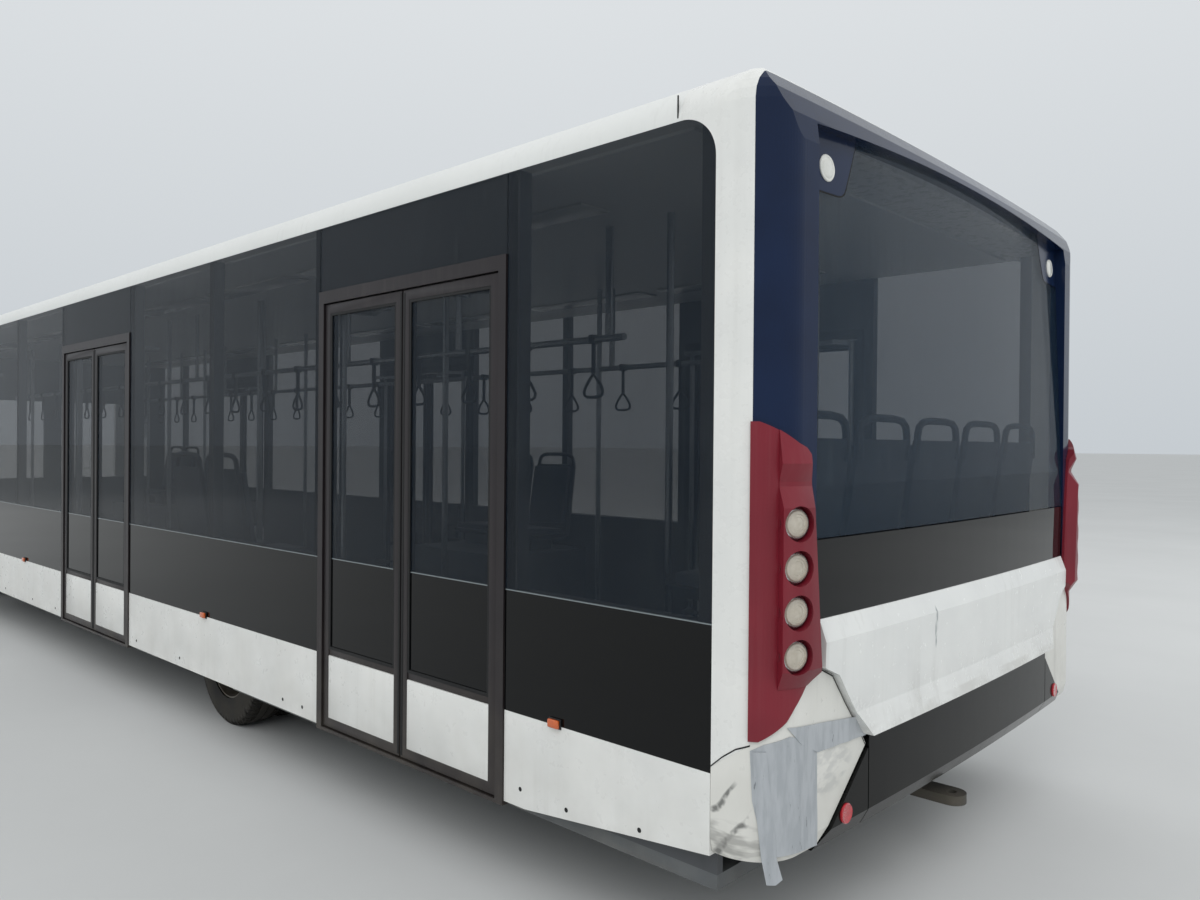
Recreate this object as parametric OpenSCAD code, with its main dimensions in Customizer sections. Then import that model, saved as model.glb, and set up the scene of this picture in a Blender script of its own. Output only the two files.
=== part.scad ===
/* [Body] */
// Length over the bumpers
body_len = 13870; // [13600:10:14200]
// Width over the side panels
body_w = 3000; // [2940:10:3060]
// Height of the roof's crown
body_h = 3050; // [3000:10:3120]
// Thickness of walls and roof
wall_t = 70; // [60:1:80]
// Radius of the roof's crown across the body
crown_r = 15000; // [12000:500:20000]
// Radius of the roof's long edges
edge_r = 130; // [110:5:150]
// How far the rear face bulges, at its middle, past the line of its corners
rear_bulge = 25; // [15:5:60]
// Radius of the rear corners in plan
tail_corner_r = 180; // [160:5:200]
// Radius between the rear face and the roof
tail_r = 300; // [220:5:320]
// How far the front face bulges
front_bulge = 170; // [120:5:200]
// Radius of the front corners in plan
nose_corner_r = 240; // [200:5:280]
// Radius between the front face and the roof
nose_r = 150; // [120:5:155]

/* [Levels] */
// Top of the floor
floor_top = 420; // [400:5:440]
// Thickness of the floor
floor_t = 50; // [40:5:70]
// Bottom edge of the skirts
skirt_bottom = 400; // [380:5:410]
// Top edge of the skirts
skirt_top = 756; // [720:2:790]
// Top of the dark zone of the side glass
dark_top = 1226; // [1150:2:1300]
// Height of the roof rail, from its bottom edge up to the crown
rail_depth = 205; // [200:5:250]
// Thickness of the skirt panels
skirt_t = 40; // [30:1:50]
// Thickness of a glass pane
glass_t = 10; // [6:1:14]
// Width of the seams between panes
seam = 6; // [4:1:8]

/* [Doors] */
// Width over the door frame
door_w = 1400; // [1340:10:1460]
// Distance of the rear door's centre from the rear end
door_first = 1982; // [1962:5:2012]
// Distance of the front door's centre from the front end
door_last = 4108; // [4068:10:4158]
// Bottom of the door frame
door_bottom = 382; // [370:2:386]
// Top of the door frame
door_top = 2530; // [2480:5:2580]
// Width of the fixed frame's uprights
door_frame_w = 45; // [40:1:50]
// Height of the fixed frame's head
door_head_h = 60; // [50:1:70]
// Height of the threshold
threshold_h = 16; // [12:1:18]
// How far the frame stands proud of the side
door_proud = 8; // [4:1:12]
// Thickness of a door leaf
leaf_t = 40; // [32:1:46]
// Width of a leaf's stiles and rails
stile_w = 46; // [40:1:55]
// Running gap round a leaf
leaf_gap = 6; // [6:0.5:8]
// Distance from the frame's edge to the door post's axis
post_in = 75; // [72:1:85]
// Depth of the door post's axis behind the side
post_deep = 85; // [82:1:95]
// Radius of a door post
post_r = 17; // [14:1:19]
// Reach of a door arm along the leaf
arm_reach = 330; // [310:5:350]
// Depth of the leaf's pin behind the side
pin_deep = 110; // [104:1:120]
// Radius of a leaf's pin
pin_r = 9; // [7:0.5:11]
// Width and height of a door arm
arm_w = 26; // [22:1:28]
// Depth of a door arm's elbow
elbow = 145; // [135:5:155]
// Opening angle of the doors
door_angle = 160; // [150:1:165]
// Height of the lower arms
low_arm_z = 600; // [560:10:660]

/* [Wheels] */
// Distance of the rear axle from the rear end
rear_overhang = 4241; // [4211:10:4271]
// Distance of the front axle from the front end
front_overhang = 2529; // [2499:10:2579]
// Radius of the tyres
tyre_r = 419; // [410:1:430]
// Width of a tyre
tyre_w = 245; // [235:1:255]
// Bead seat radius of the rims
bead_r = 248; // [244:1:252]
// Distance of the wheels' outer faces from the side
wheel_inset = 250; // [240:5:270]
// Distance between twin tyres' centres
twin_pitch = 280; // [272:1:290]
// Distance of the kingpin from the wheel's centre plane
kingpin_in = 200; // [190:5:215]
// Radius of the stub axles
stub_r = 36; // [30:1:40]

/* [Hidden] */

$fn = 48;
bow_fn = 1440;
crown_fn = 2160;

// Ends and sides of the body
x_rear = -body_len / 2;
x_front = body_len / 2;
y_side = body_w / 2;
big = body_len;

// How far the band's lower edge stands out from the rear face
band_flare = 44;

// Bow of the rear face: half its chord, radius and centre
bow_chord = 1250;
rear_bow_r = (pow(bow_chord, 2) + pow(rear_bulge, 2)) / (2 * rear_bulge);
x_tail = x_rear + band_flare;
rear_bow_x = x_tail + rear_bow_r;
rear_c_y = y_side - tail_corner_r;
rear_c_x = rear_bow_x - sqrt(pow(rear_bow_r - tail_corner_r, 2) - pow(rear_c_y, 2));
rear_phi = atan2(rear_c_y, rear_bow_x - rear_c_x);

// Bow of the front face
front_bow_r = (pow(bow_chord, 2) + pow(front_bulge, 2)) / (2 * front_bulge);
front_bow_x = x_front - front_bow_r;
front_c_y = y_side - nose_corner_r;
front_c_x = front_bow_x + sqrt(pow(front_bow_r - nose_corner_r, 2) - pow(front_c_y, 2));
front_phi = atan2(front_c_y, front_c_x - front_bow_x);

// Rounded long edges of the roof
crown_z = body_h - crown_r;
rail_bottom = body_h - rail_depth;
edge_y = y_side - edge_r;
edge_z = crown_z + sqrt(pow(crown_r - edge_r, 2) - pow(edge_y, 2));
// Height of the corners' rounded columns, just clear of the roof's crown beside them
corner_column_h = edge_z + edge_r + 5;

// Seams along the body
post_front_x = x_tail + 247;
hoop_front_x = post_front_x + 140;
post_rear_x = rear_c_x - 90;
nose_seam_x = front_c_x - 60;
glass_nook_r = 140;

// Rear face, from the ground up
bumper_low = 488;
corner_low = 505;
band_low = 812;
corner_top = 1084;
band_high = 1236;
window_low = 1491;
window_high = body_h - 178;
window_half = y_side - 250;
// How far the rear window's top lies in from its foot
window_rake = 50;
band_proud = 26;
band_half = y_side - 272;
bumper_half = y_side - 580;
bumper_proud = 12;
// Lower edge of the rear hoop's posts at their rear and front faces
post_low_rear = 868;
post_low_front = 781;
// Seam between the band and the corner pieces: distance in from the side, height
corner_seam = [[580, 771], [524, 845], [437, 947], [359, 1047], [272, corner_top]];
corner_foot = 284;
// Dark wing outboard of the bumper: distance in from the side, height
bumper_wing = [[574, bumper_low], [574, 760], [271, bumper_low]];

// Front face, from the ground up
mask_low = 560;
mask_high = 1180;
screen_high = body_h - 350;
screen_half = y_side - 210;
screen_corner_r = 60;
front_bumper_low = 400;
front_bumper_step = 40;

// Inner face of the side walls
y_wall = y_side - wall_t;
post_w = 60;
fit = 0.3;

// Doors: centres along the body, from the rear
door_pitch = (body_len - door_first - door_last) / 2;
function door_x(number) = x_rear + door_first + (3 - number) * door_pitch;
door_numbers = [1, 2, 3];
leaf_middle_gap = leaf_gap + 3;
leaf_w = door_w / 2 - door_frame_w - leaf_gap - leaf_middle_gap / 2;
leaf_low = door_bottom + threshold_h + leaf_gap;
leaf_high = door_top - door_head_h - leaf_gap;
high_arm_z = leaf_high - arm_w - 8;
pin_along = post_in + arm_reach;
bracket_t = 12;
bracket_w = 50;
eye_r = 22;

// Wheels
x_rear_axle = x_rear + rear_overhang;
x_front_axle = x_front - front_overhang;
y_wheel = y_side - wheel_inset - tyre_w / 2;
y_twin = y_wheel - twin_pitch;
y_kingpin = y_wheel - kingpin_in;
hub_r = 95;
rim_t = 10;

// Wheel boxes of the floor: half lengths, inner faces and top
box_half = 560;
front_box_half = 640;
box_inner = y_wall - 870;
front_box_inner = y_wall - 730;
box_top = 960;
box_t = 8;

// Cab: rear face of its wall and the driver's place across the body
cab_x = x_front - 1776;
driver_y = y_side - 650;

// Stretches of side wall between the door frames: rear end, front end
wall_ends = [
    [post_front_x, door_x(3) - door_w / 2],
    [door_x(3) + door_w / 2, door_x(2) - door_w / 2],
    [door_x(2) + door_w / 2, door_x(1) - door_w / 2],
    [door_x(1) + door_w / 2, nose_seam_x],
];
wall_posts = [2, 3, 3, 4];

// Draws its children on the left side and mirrored on the right
module both_sides() {
    children();
    mirror([0, 1, 0]) children();
}

// A block from one corner to the opposite one
module block(low, high) {
    translate(low) cube(high - low);
}

// Turns a drawing of width and height into a length of the body
module along(x_low, x_high) {
    translate([x_low, 0, 0]) rotate([90, 0, 90])
        linear_extrude(height = x_high - x_low) children();
}

// Turns a drawing of length and height into a stretch across the body
module across(y_low, y_high) {
    translate([0, y_high, 0]) rotate([90, 0, 0])
        linear_extrude(height = y_high - y_low) children();
}

// Cross-section of the body, drawn in by inset
module section(inset) {
    tangent_y = edge_y * (crown_r - inset) / (crown_r - edge_r);
    intersection() {
        translate([0, crown_z]) circle(r = crown_r - inset, $fn = crown_fn);
        union() {
            translate([-y_side + inset, 0]) square([body_w - 2 * inset, edge_z]);
            translate([-tangent_y, 0]) square([2 * tangent_y, body_h]);
            for (side = [-1, 1])
                translate([side * edge_y, edge_z]) circle(r = edge_r - inset);
        }
    }
}

// Points of a quarter round from the upright face to the top
function round_over(radius, round_r, height, steps = 6) = [
    for (k = [0 : steps])
        [radius - round_r + round_r * cos(90 * k / steps), height - round_r + round_r * sin(90 * k / steps)],
];

// Half section of a column whose top edge is rounded over in short flats
module column_section(radius, round_r, height) {
    polygon(concat([[0, 0], [radius, 0]], round_over(radius, round_r, height), [[0, height]]));
}

// Plan of the rear half of the body, drawn in by inset
module tail_plan(inset) {
    tangent_y = rear_c_y * (rear_bow_r - inset) / (rear_bow_r - tail_corner_r);
    intersection() {
        translate([rear_bow_x, 0]) circle(r = rear_bow_r - inset, $fn = bow_fn);
        union() {
            for (side = [-1, 1])
                translate([rear_c_x, side * rear_c_y]) circle(r = tail_corner_r - inset, $fn = 96);
            translate([x_rear - 100, -tangent_y]) square([big / 2, 2 * tangent_y]);
            translate([rear_c_x, -y_side + inset]) square([big / 2, body_w - 2 * inset]);
        }
    }
}

// The rear end with its rounded top edge
module tail() {
    intersection() {
        translate([rear_bow_x, 0, 0])
            rotate_extrude($fn = bow_fn) column_section(rear_bow_r, tail_r, body_h);
        union() {
            for (side = [-1, 1])
                translate([rear_c_x, side * rear_c_y, 0])
                    rotate_extrude($fn = 96) column_section(tail_corner_r, edge_r, corner_column_h);
            block([x_rear, -rear_c_y, 0], [0, rear_c_y, body_h]);
            block([rear_c_x, -y_side, 0], [0, y_side, body_h]);
        }
    }
}

// Plan of the front half of the body, drawn in by inset
module nose_plan(inset) {
    tangent_y = front_c_y * (front_bow_r - inset) / (front_bow_r - nose_corner_r);
    intersection() {
        translate([front_bow_x, 0]) circle(r = front_bow_r - inset, $fn = bow_fn);
        union() {
            for (side = [-1, 1])
                translate([front_c_x, side * front_c_y]) circle(r = nose_corner_r - inset, $fn = 96);
            translate([x_front + 100 - big / 2, -tangent_y]) square([big / 2, 2 * tangent_y]);
            translate([front_c_x - big / 2, -y_side + inset]) square([big / 2, body_w - 2 * inset]);
        }
    }
}

// The front end with its rounded top edge
module nose() {
    intersection() {
        translate([front_bow_x, 0, 0])
            rotate_extrude($fn = bow_fn) column_section(front_bow_r, nose_r, body_h);
        union() {
            for (side = [-1, 1])
                translate([front_c_x, side * front_c_y, 0])
                    rotate_extrude($fn = 96) column_section(nose_corner_r, edge_r, corner_column_h);
            block([0, -front_c_y, 0], [x_front, front_c_y, body_h]);
            block([0, -y_side, 0], [front_c_x, y_side, body_h]);
        }
    }
}

// Wall of the rear end between two heights, from one inset to a deeper one
module tail_wall(outer, inner, z_low, z_high) {
    translate([0, 0, z_low])
        linear_extrude(height = z_high - z_low)
            difference() {
                tail_plan(outer);
                tail_plan(inner);
            }
}

// Wall of the front end, in the same way
module nose_wall(outer, inner, z_low, z_high) {
    translate([0, 0, z_low])
        linear_extrude(height = z_high - z_low)
            difference() {
                nose_plan(outer);
                nose_plan(inner);
                translate([nose_seam_x - big, -y_side - big / 2]) square([big, 2 * big]);
            }
}

// Sweeps a drawing of outward distance and height round the rear end
module rear_sweep() {
    translate([rear_bow_x, 0, 0]) rotate([0, 0, 180 - rear_phi])
        rotate_extrude(angle = 2 * rear_phi, $fn = bow_fn)
            translate([rear_bow_r, 0]) children();
    both_sides()
        translate([rear_c_x, rear_c_y, 0]) rotate([0, 0, 90])
            rotate_extrude(angle = 90 - rear_phi, $fn = 240)
                translate([tail_corner_r, 0]) children();
}

// A rectangle with rounded corners between two corner points
module rounded(low, high, radius) {
    translate([low[0] + radius, low[1]])
        square([high[0] - low[0] - 2 * radius, high[1] - low[1]]);
    translate([low[0], low[1] + radius])
        square([high[0] - low[0], high[1] - low[1] - 2 * radius]);
    for (x = [low[0] + radius, high[0] - radius], y = [low[1] + radius, high[1] - radius])
        translate([x, y]) circle(r = radius);
}

// Underframe: two long rails with cross members and a towing eye at each end
rail_w = 90;
rail_h = 110;
rail_y = front_box_inner - 220;
rail_top = floor_top - floor_t;
rail_rear_in = 635;
rail_front_in = 535;
cross_w = 80;
cross_h = 70;
cross_y = y_side - 350;
// Free length on each side of an axle, and the members' spacing between the axles
axle_clear = 660;
cross_step = (x_front_axle - x_rear_axle - 2 * axle_clear - cross_w) / 4;
// Distances of the rear members from the rear end
rear_cross_in = [835, 1735, 2735];
front_cross_in = 935;
cross_xs = concat(
    [for (distance = rear_cross_in) x_rear + distance],
    [x_rear_axle - axle_clear - cross_w],
    [for (k = [0 : 4]) x_rear_axle + axle_clear + k * cross_step],
    [x_front_axle + axle_clear, x_front - front_cross_in]
);
tow_r = 21;
tow_eye_r = 60;
tow_t = 40;
tow_x = x_front - 130;
tow_bar = 905;
tow_z = rail_top - rail_h + 35;
module chassis() {
    color("dimgray")
        difference() {
            union() {
                both_sides()
                    block([x_rear + rail_rear_in, rail_y, rail_top - rail_h],
                        [x_front - rail_front_in, rail_y + rail_w, rail_top]);
                for (x = cross_xs)
                    block([x, -cross_y, rail_top - cross_h], [x + cross_w, cross_y, rail_top]);
                for (end = [0, 1])
                    mirror([end, 0, 0]) {
                        block([tow_x - tow_bar, -tow_eye_r, tow_z], [tow_x, tow_eye_r, tow_z + tow_t]);
                        translate([tow_x, 0, tow_z]) cylinder(r = tow_eye_r, h = tow_t);
                    }
            }
            for (end = [-1, 1])
                translate([end * tow_x, 0, 0]) cylinder(r = tow_r, h = rail_top);
        }
}

// Floor with its side sills, wheel boxes and the raised platform at the rear
sill_low = rail_top;
floor_rear_x = x_rear + 400;
platform_x = x_rear + 1000;
platform_top = floor_top + 460;
platform_t = 60;
module floor_plate() {
    color("slategray") {
        difference() {
            union() {
                block([floor_rear_x, -y_wall, sill_low], [front_c_x, y_wall, floor_top]);
                for (ends = wall_ends)
                    block([ends[0], -y_side + skirt_t, sill_low], [ends[1], y_side - skirt_t, floor_top]);
                both_sides() {
                    wheel_box(x_rear_axle, box_half, box_inner);
                    wheel_box(x_front_axle, front_box_half, front_box_inner);
                }
                block([floor_rear_x, -y_wall, floor_top], [platform_x, y_wall, platform_top]);
            }
            both_sides() {
                wheel_well(x_rear_axle, box_half, box_inner);
                wheel_well(x_front_axle, front_box_half, front_box_inner);
            }
            block([floor_rear_x + platform_t, -y_wall + platform_t, floor_top],
                [platform_x - platform_t, y_wall - platform_t, platform_top - platform_t]);
        }
    }
}
module wheel_box(x, half, inner) {
    block([x - half, inner, sill_low], [x + half, y_wall, box_top]);
}
module wheel_well(x, half, inner) {
    block([x - half + box_t, inner + box_t, 0], [x + half - box_t, y_side, box_top - box_t]);
}

// Rear axle beam with its stub ends, front axle beam with the forks that hold the kingpins
beam_low = 175;
beam_high = 229;
beam_half = 55;
fork_half = 70;
fork_t = 40;
upright_t = 70;
rear_upright_y = y_twin - tyre_w / 2 - 90;
front_upright_y = y_kingpin - 115;
module axles() {
    color("dimgray") {
        both_sides() {
            axle_block(x_rear_axle, rear_upright_y, rear_upright_y + upright_t, beam_low, tyre_r + 60);
            translate([x_rear_axle, rear_upright_y + upright_t, tyre_r]) rotate([-90, 0, 0])
                cylinder(r = stub_r, h = y_wheel + 40 - rear_upright_y - upright_t);
            axle_block(x_front_axle, front_upright_y, front_upright_y + upright_t,
                beam_low, tyre_r + fork_half + fork_t);
            axle_block(x_front_axle, y_kingpin - 45, y_kingpin + 42,
                tyre_r + fork_half + fit, tyre_r + fork_half + fork_t);
            axle_block(x_front_axle, y_kingpin - 45, y_kingpin + 42,
                tyre_r - fork_half - fork_t, tyre_r - fork_half - fit);
            for (x = [x_rear_axle, x_front_axle])
                axle_block(x, rail_y, rail_y + rail_w, beam_high, rail_top - rail_h);
        }
        axle_block(x_rear_axle, -rear_upright_y, rear_upright_y, beam_low, beam_high);
        axle_block(x_front_axle, -front_upright_y, front_upright_y, beam_low, beam_high);
    }
}
module axle_block(x, y_low, y_high, z_low, z_high) {
    block([x - beam_half, y_low, z_low], [x + beam_half, y_high, z_high]);
}

// Engine as one block ahead of the front axle
engine_len = 1000;
engine_h = 640;
engine_half = 400;
engine_gap = 91;
module engine() {
    color("silver")
        block([cab_x + engine_gap, -engine_half, floor_top],
            [cab_x + engine_gap + engine_len, engine_half, floor_top + engine_h]);
}

// Roof between the rear and front hoops, closed by a flat ceiling
ceiling_z = rail_bottom - 11;
module roof() {
    color("white")
        intersection() {
            along(hoop_front_x + fit, nose_seam_x - fit) section(0);
            union() {
                block([hoop_front_x, -y_side, rail_bottom], [nose_seam_x, y_side, body_h]);
                block([hoop_front_x, -y_wall + fit, ceiling_z], [nose_seam_x, y_wall - fit, rail_bottom]);
            }
        }
}

// Side wall posts and lower wall panels
module wall_profile(z_low, z_high) {
    translate([y_wall, z_low]) square([wall_t - skirt_t, z_high - z_low]);
    if (z_high > skirt_top)
        translate([y_wall, max(z_low, skirt_top)])
            square([wall_t - glass_t, z_high - max(z_low, skirt_top)]);
}
module side_frames() {
    color("dimgray")
        both_sides()
            difference() {
                union() {
                    for (i = [0 : len(wall_ends) - 1])
                        wall_stretch(wall_ends[i][0], wall_ends[i][1], wall_posts[i]);
                    for (number = door_numbers)
                        block([door_x(number) - door_w / 2 + fit, y_wall, door_top],
                            [door_x(number) + door_w / 2 - fit, y_side - glass_t, rail_bottom]);
                }
                front_arch();
            }
}

// Posts and lower panels of one stretch of wall
module wall_stretch(low, high, count) {
    step = (high - low - post_w) / (count - 1);
    for (k = [0 : count - 1])
        along(low + k * step, low + k * step + post_w)
            wall_profile(floor_top, rail_bottom);
    for (k = [0 : count - 2])
        along(low + k * step + post_w + fit, low + (k + 1) * step - fit)
            wall_profile(floor_top, dark_top);
}

// Space of the front wheel arch through the side wall
arch_half = 560;
arch_top = 735;
arch_r = 150;
module front_arch() {
    across(0, y_side + 1)
        rounded([x_front_axle - arch_half, -arch_r], [x_front_axle + arch_half, arch_top], arch_r);
}

// Flush side glass: tall panes between the doors and short ones over them
module side_glass() {
    low_z = skirt_top + fit;
    high_z = rail_bottom - fit;
    color("darkslategray")
        both_sides() {
            for (ends = wall_ends)
                if (ends[0] > post_front_x)
                    block([ends[0] + seam / 2, y_side - glass_t, low_z],
                        [ends[1] - seam / 2, y_side, high_z]);
            difference() {
                block([post_front_x + fit, y_side - glass_t, low_z],
                    [wall_ends[0][1] - seam / 2, y_side, high_z]);
                across(0, y_side + 1) nook(fit);
            }
            for (number = door_numbers)
                block([door_x(number) - door_w / 2 + seam / 2, y_side - glass_t, door_top + fit],
                    [door_x(number) + door_w / 2 - seam / 2, y_side, high_z]);
        }
}

// Fillet that fills the upper rear corner of the side glass
module nook(gap) {
    difference() {
        translate([post_front_x - 1, rail_bottom - glass_nook_r])
            square([glass_nook_r + 1, glass_nook_r + 1]);
        translate([post_front_x + glass_nook_r, rail_bottom - glass_nook_r])
            circle(r = glass_nook_r - gap);
    }
}

// White skirt panels between the doors, with the front wheel arches cut
kink_len = 870;
kink_rise = 95;
module skirts() {
    color("white")
        both_sides()
            difference() {
                across(y_side - skirt_t, y_side)
                    union() {
                        for (i = [1 : len(wall_ends) - 1])
                            translate([wall_ends[i][0] + 2, skirt_bottom])
                                square([wall_ends[i][1] - wall_ends[i][0] - 4,
                                    skirt_top - skirt_bottom]);
                        polygon([
                            [post_front_x + 2, skirt_bottom + kink_rise],
                            [post_front_x + kink_len, skirt_bottom],
                            [wall_ends[0][1] - 2, skirt_bottom],
                            [wall_ends[0][1] - 2, skirt_top],
                            [post_front_x + 2, skirt_top],
                        ]);
                    }
                front_arch();
            }
}

// Fixed dark frames round the doors
module door_frames() {
    color("#3a353b")
        both_sides()
            for (number = door_numbers)
                translate([door_x(number), 0, 0])
                    difference() {
                        block([-door_w / 2, y_wall, door_bottom],
                            [door_w / 2, y_side + door_proud, door_top]);
                        block([-door_w / 2 + door_frame_w, 0, door_bottom + threshold_h],
                            [door_w / 2 - door_frame_w, y_side + 50, door_top - door_head_h]);
                        block([-door_w, 0, 0], [door_w, y_wall + fit, floor_top]);
                    }
}

// One leaf, drawn at the rear half of a left door; x from the frame's edge, y from the side's face
module leaf() {
    low_x = door_frame_w + leaf_gap;
    high_x = low_x + leaf_w;
    difference() {
        block([low_x, -leaf_t, leaf_low], [high_x, 0, leaf_high]);
        block([low_x + stile_w, -leaf_t - 1, skirt_top + 30],
            [high_x - stile_w, -glass_t - 8, leaf_high - stile_w]);
        block([low_x + stile_w, -8, skirt_top + 30], [high_x - stile_w, 1, leaf_high - stile_w]);
    }
    for (z = [low_arm_z, high_arm_z])
        translate([0, 0, z - bracket_t - fit]) {
            block([pin_along - bracket_w / 2, -pin_deep, 0], [pin_along + bracket_w / 2, -leaf_t, bracket_t]);
            translate([pin_along, -pin_deep, 0]) cylinder(r = bracket_w / 2, h = bracket_t);
            translate([pin_along, -pin_deep, 0]) cylinder(r = pin_r, h = bracket_t + fit + arm_w);
        }
}

// One door post with its two bent arms, drawn like the leaf
module arm() {
    translate([post_in, -post_deep, floor_top + fit])
        cylinder(r = post_r, h = leaf_high - floor_top);
    for (z = [low_arm_z, high_arm_z])
        translate([0, 0, z]) linear_extrude(height = arm_w) arm_plan();
}

// Plan of an arm: its elbow lies straight out from the post when the door is open
module arm_plan() {
    elbow_x = post_in + elbow * sin(door_angle);
    elbow_y = -post_deep + elbow * cos(door_angle);
    difference() {
        union() {
            bar([post_in, -post_deep], [elbow_x, elbow_y]);
            bar([elbow_x, elbow_y], [pin_along, -pin_deep]);
            translate([elbow_x, elbow_y]) circle(r = arm_w / 2 + 3);
            translate([pin_along, -pin_deep]) circle(r = eye_r);
        }
        translate([pin_along, -pin_deep]) circle(r = pin_r + fit);
    }
}

// A bar between two points of the plan
module bar(from, to) {
    run = to - from;
    translate(from) rotate(atan2(run[1], run[0]))
        translate([0, -arm_w / 2]) square([norm(run), arm_w]);
}

// Puts a leaf or an arm, drawn at the rear half of a left door, in its place
module at_door(side, number, half) {
    mirror([0, side == "right" ? 1 : 0, 0])
        translate([door_x(number), y_side, 0])
            mirror([half == "front" ? 1 : 0, 0, 0])
                translate([-door_w / 2, 0, 0]) children();
}

// Height of the lower edge of the rear hoop's posts
function post_edge(x) =
    post_low_rear + (x - post_rear_x) * (post_low_front - post_low_rear) / (post_front_x - post_rear_x);

// Everything above that edge, in length and height, from the posts' rear face forward
module above_post_edge(gap) {
    rear_x = post_rear_x - gap;
    front_x = post_front_x + wall_t;
    polygon([
        [rear_x, post_edge(rear_x) - gap], [front_x, post_edge(front_x) - gap],
        [front_x, rail_bottom], [rear_x, rail_bottom],
    ]);
}

// White hoop round the rear end: posts, nooks and the roof over them
module rear_hoop() {
    color("white") {
        intersection() {
            tail_wall(0, wall_t, post_low_front - 1, rail_bottom);
            block([post_rear_x, -y_side, 0], [post_front_x, y_side, rail_bottom]);
            across(-y_side - 1, y_side + 1) above_post_edge(0);
        }
        intersection() {
            along(post_rear_x, hoop_front_x) section(0);
            tail();
            block([post_rear_x, -y_side, rail_bottom], [hoop_front_x, y_side, body_h]);
        }
        both_sides()
            across(y_side - glass_t, y_side) nook(0);
    }
}

// Outline of the rear opening, in width and height; its top follows the roof's crown
module rear_opening(gap) {
    intersection() {
        translate([-window_half + gap, band_high]) square([2 * (window_half - gap), body_h - band_high]);
        translate([0, crown_z]) circle(r = crown_r - body_h + window_high - gap, $fn = crown_fn);
    }
}

// Dark surround of the rear window, with the roof's rear cap
module rear_surround() {
    color("midnightblue")
        difference() {
            intersection() {
                along(x_rear, post_rear_x - fit) section(0);
                tail();
                block([x_rear, -y_side, corner_top + fit], [post_rear_x - fit, y_side, body_h]);
            }
            linear_extrude(height = rail_bottom) tail_plan(wall_t);
            along(x_rear - 1, x_rear + 250) rear_opening(0);
            block([x_rear - 1, -band_half, 0], [x_rear + 250, band_half, band_high + 1]);
        }
}

// Leans its children in towards the top, about the rear window's foot
module raked() {
    translate([x_tail, 0, window_low])
        rotate([0, asin(window_rake / (window_high - window_low)), 0])
            translate([-x_tail, 0, -window_low]) children();
}

// Rear window and the dark panel below it
pane_in = 4;
pane_t = 14;
module rear_glazing() {
    color("black") {
        intersection() {
            tail_wall(pane_in, pane_in + pane_t, band_high + fit, window_low);
            along(x_rear - 1, x_rear + 200) rear_opening(fit);
        }
        intersection() {
            raked() tail_wall(pane_in, pane_in + pane_t, window_low + seam, window_high + seam);
            along(x_rear - 1, x_rear + 250) rear_opening(fit);
        }
    }
}

// Points of a table of distances in from the side and heights, moved outward by shift
function from_side(table, shift) = [for (row = table) [y_side - row[0] + shift, row[1]]];

// The same points with their mirror image, as one closed line
function closed_line(points) =
    concat(points, [for (k = [len(points) - 1 : -1 : 0]) [-points[k][0], points[k][1]]]);

// White band below the rear window, with a bevelled ledge and a flared lower edge
band_crease = 90;
ledge_h = 71;
module rear_band() {
    color("white")
        intersection() {
            rear_sweep()
                polygon([
                    [-wall_t, band_low], [band_flare, band_low],
                    [band_proud - 6, band_low + band_crease],
                    [band_proud, band_high - ledge_h], [0, band_high], [-wall_t, band_high],
                ]);
            along(x_rear - 100, rear_c_x)
                polygon(closed_line(concat(
                    from_side(corner_seam, -seam / 2), [[band_half - seam / 2, band_high + 1]])));
        }
}

// Gloss black lower bumper with a dark wing on each side
chin_h = 60;
module rear_bumper() {
    color("black")
        intersection() {
            rear_sweep()
                polygon([
                    [-wall_t, bumper_low], [-20, bumper_low], [bumper_proud, bumper_low + chin_h],
                    [bumper_proud, band_low - fit], [-wall_t, band_low - fit],
                ]);
            along(x_rear - 100, rear_c_x) {
                translate([-bumper_half, 0]) square([2 * bumper_half, band_high]);
                for (turn = [0, 1])
                    mirror([turn, 0]) polygon(from_side(bumper_wing, 0));
            }
        }
}

// White corner pieces, round the corner and up behind the lamp panels
chamfer_h = 50;
chamfer_in = 12;
module rear_corners() {
    color("white")
        both_sides()
            difference() {
                union() {
                    intersection() {
                        rear_sweep()
                            polygon([
                                [-wall_t, corner_low], [-chamfer_in, corner_low],
                                [0, corner_low + chamfer_h], [0, corner_top], [-wall_t, corner_top],
                            ]);
                        along(x_rear - 100, rear_c_x + 1)
                            polygon(concat(from_side(corner_seam, seam / 2), [
                                [y_side + 100, corner_top],
                                [y_side + 100, corner_low - 1],
                                [y_side - corner_foot + seam / 2, corner_low - 1],
                            ]));
                    }
                    along(rear_c_x, post_front_x)
                        polygon([
                            [y_side - wall_t, corner_low], [y_side - chamfer_in, corner_low],
                            [y_side, corner_low + chamfer_h], [y_side, corner_top],
                            [y_side - wall_t, corner_top],
                        ]);
                }
                across(0, y_side + 100) above_post_edge(fit);
            }
}

// Sculpted lamp panels on the rear corners: a low skin with a raised boss, four lamp cups in it
strip_proud = 12;
boss_proud = 52;
// Outline of a panel: distance in from the side, height
panel_outline = [
    [262, 1177], [254, 1107], [200, 1062], [128, 981], [99, 941], [67, 915], [28, 884], [-60, 884],
    [-60, 1868], [26, 1866], [72, 1839], [123, 1801], [152, 1787], [192, 1736], [210, 1636],
    [230, 1514], [252, 1330],
];
// Side view of the boss, from its foot to the lip over the upper scoop: how far out, height
boss_profile = [
    [6, 1036], [14, 1044], [boss_proud, 1104], [boss_proud, 1603], [15, 1668], [16, 1682],
    [40, 1738], [10, 1862], [6, 1862],
];
boss_turn = 35;
ramp_in = 258;
ramp_z = 1250;
ramp_lean = 5.7;
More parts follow.
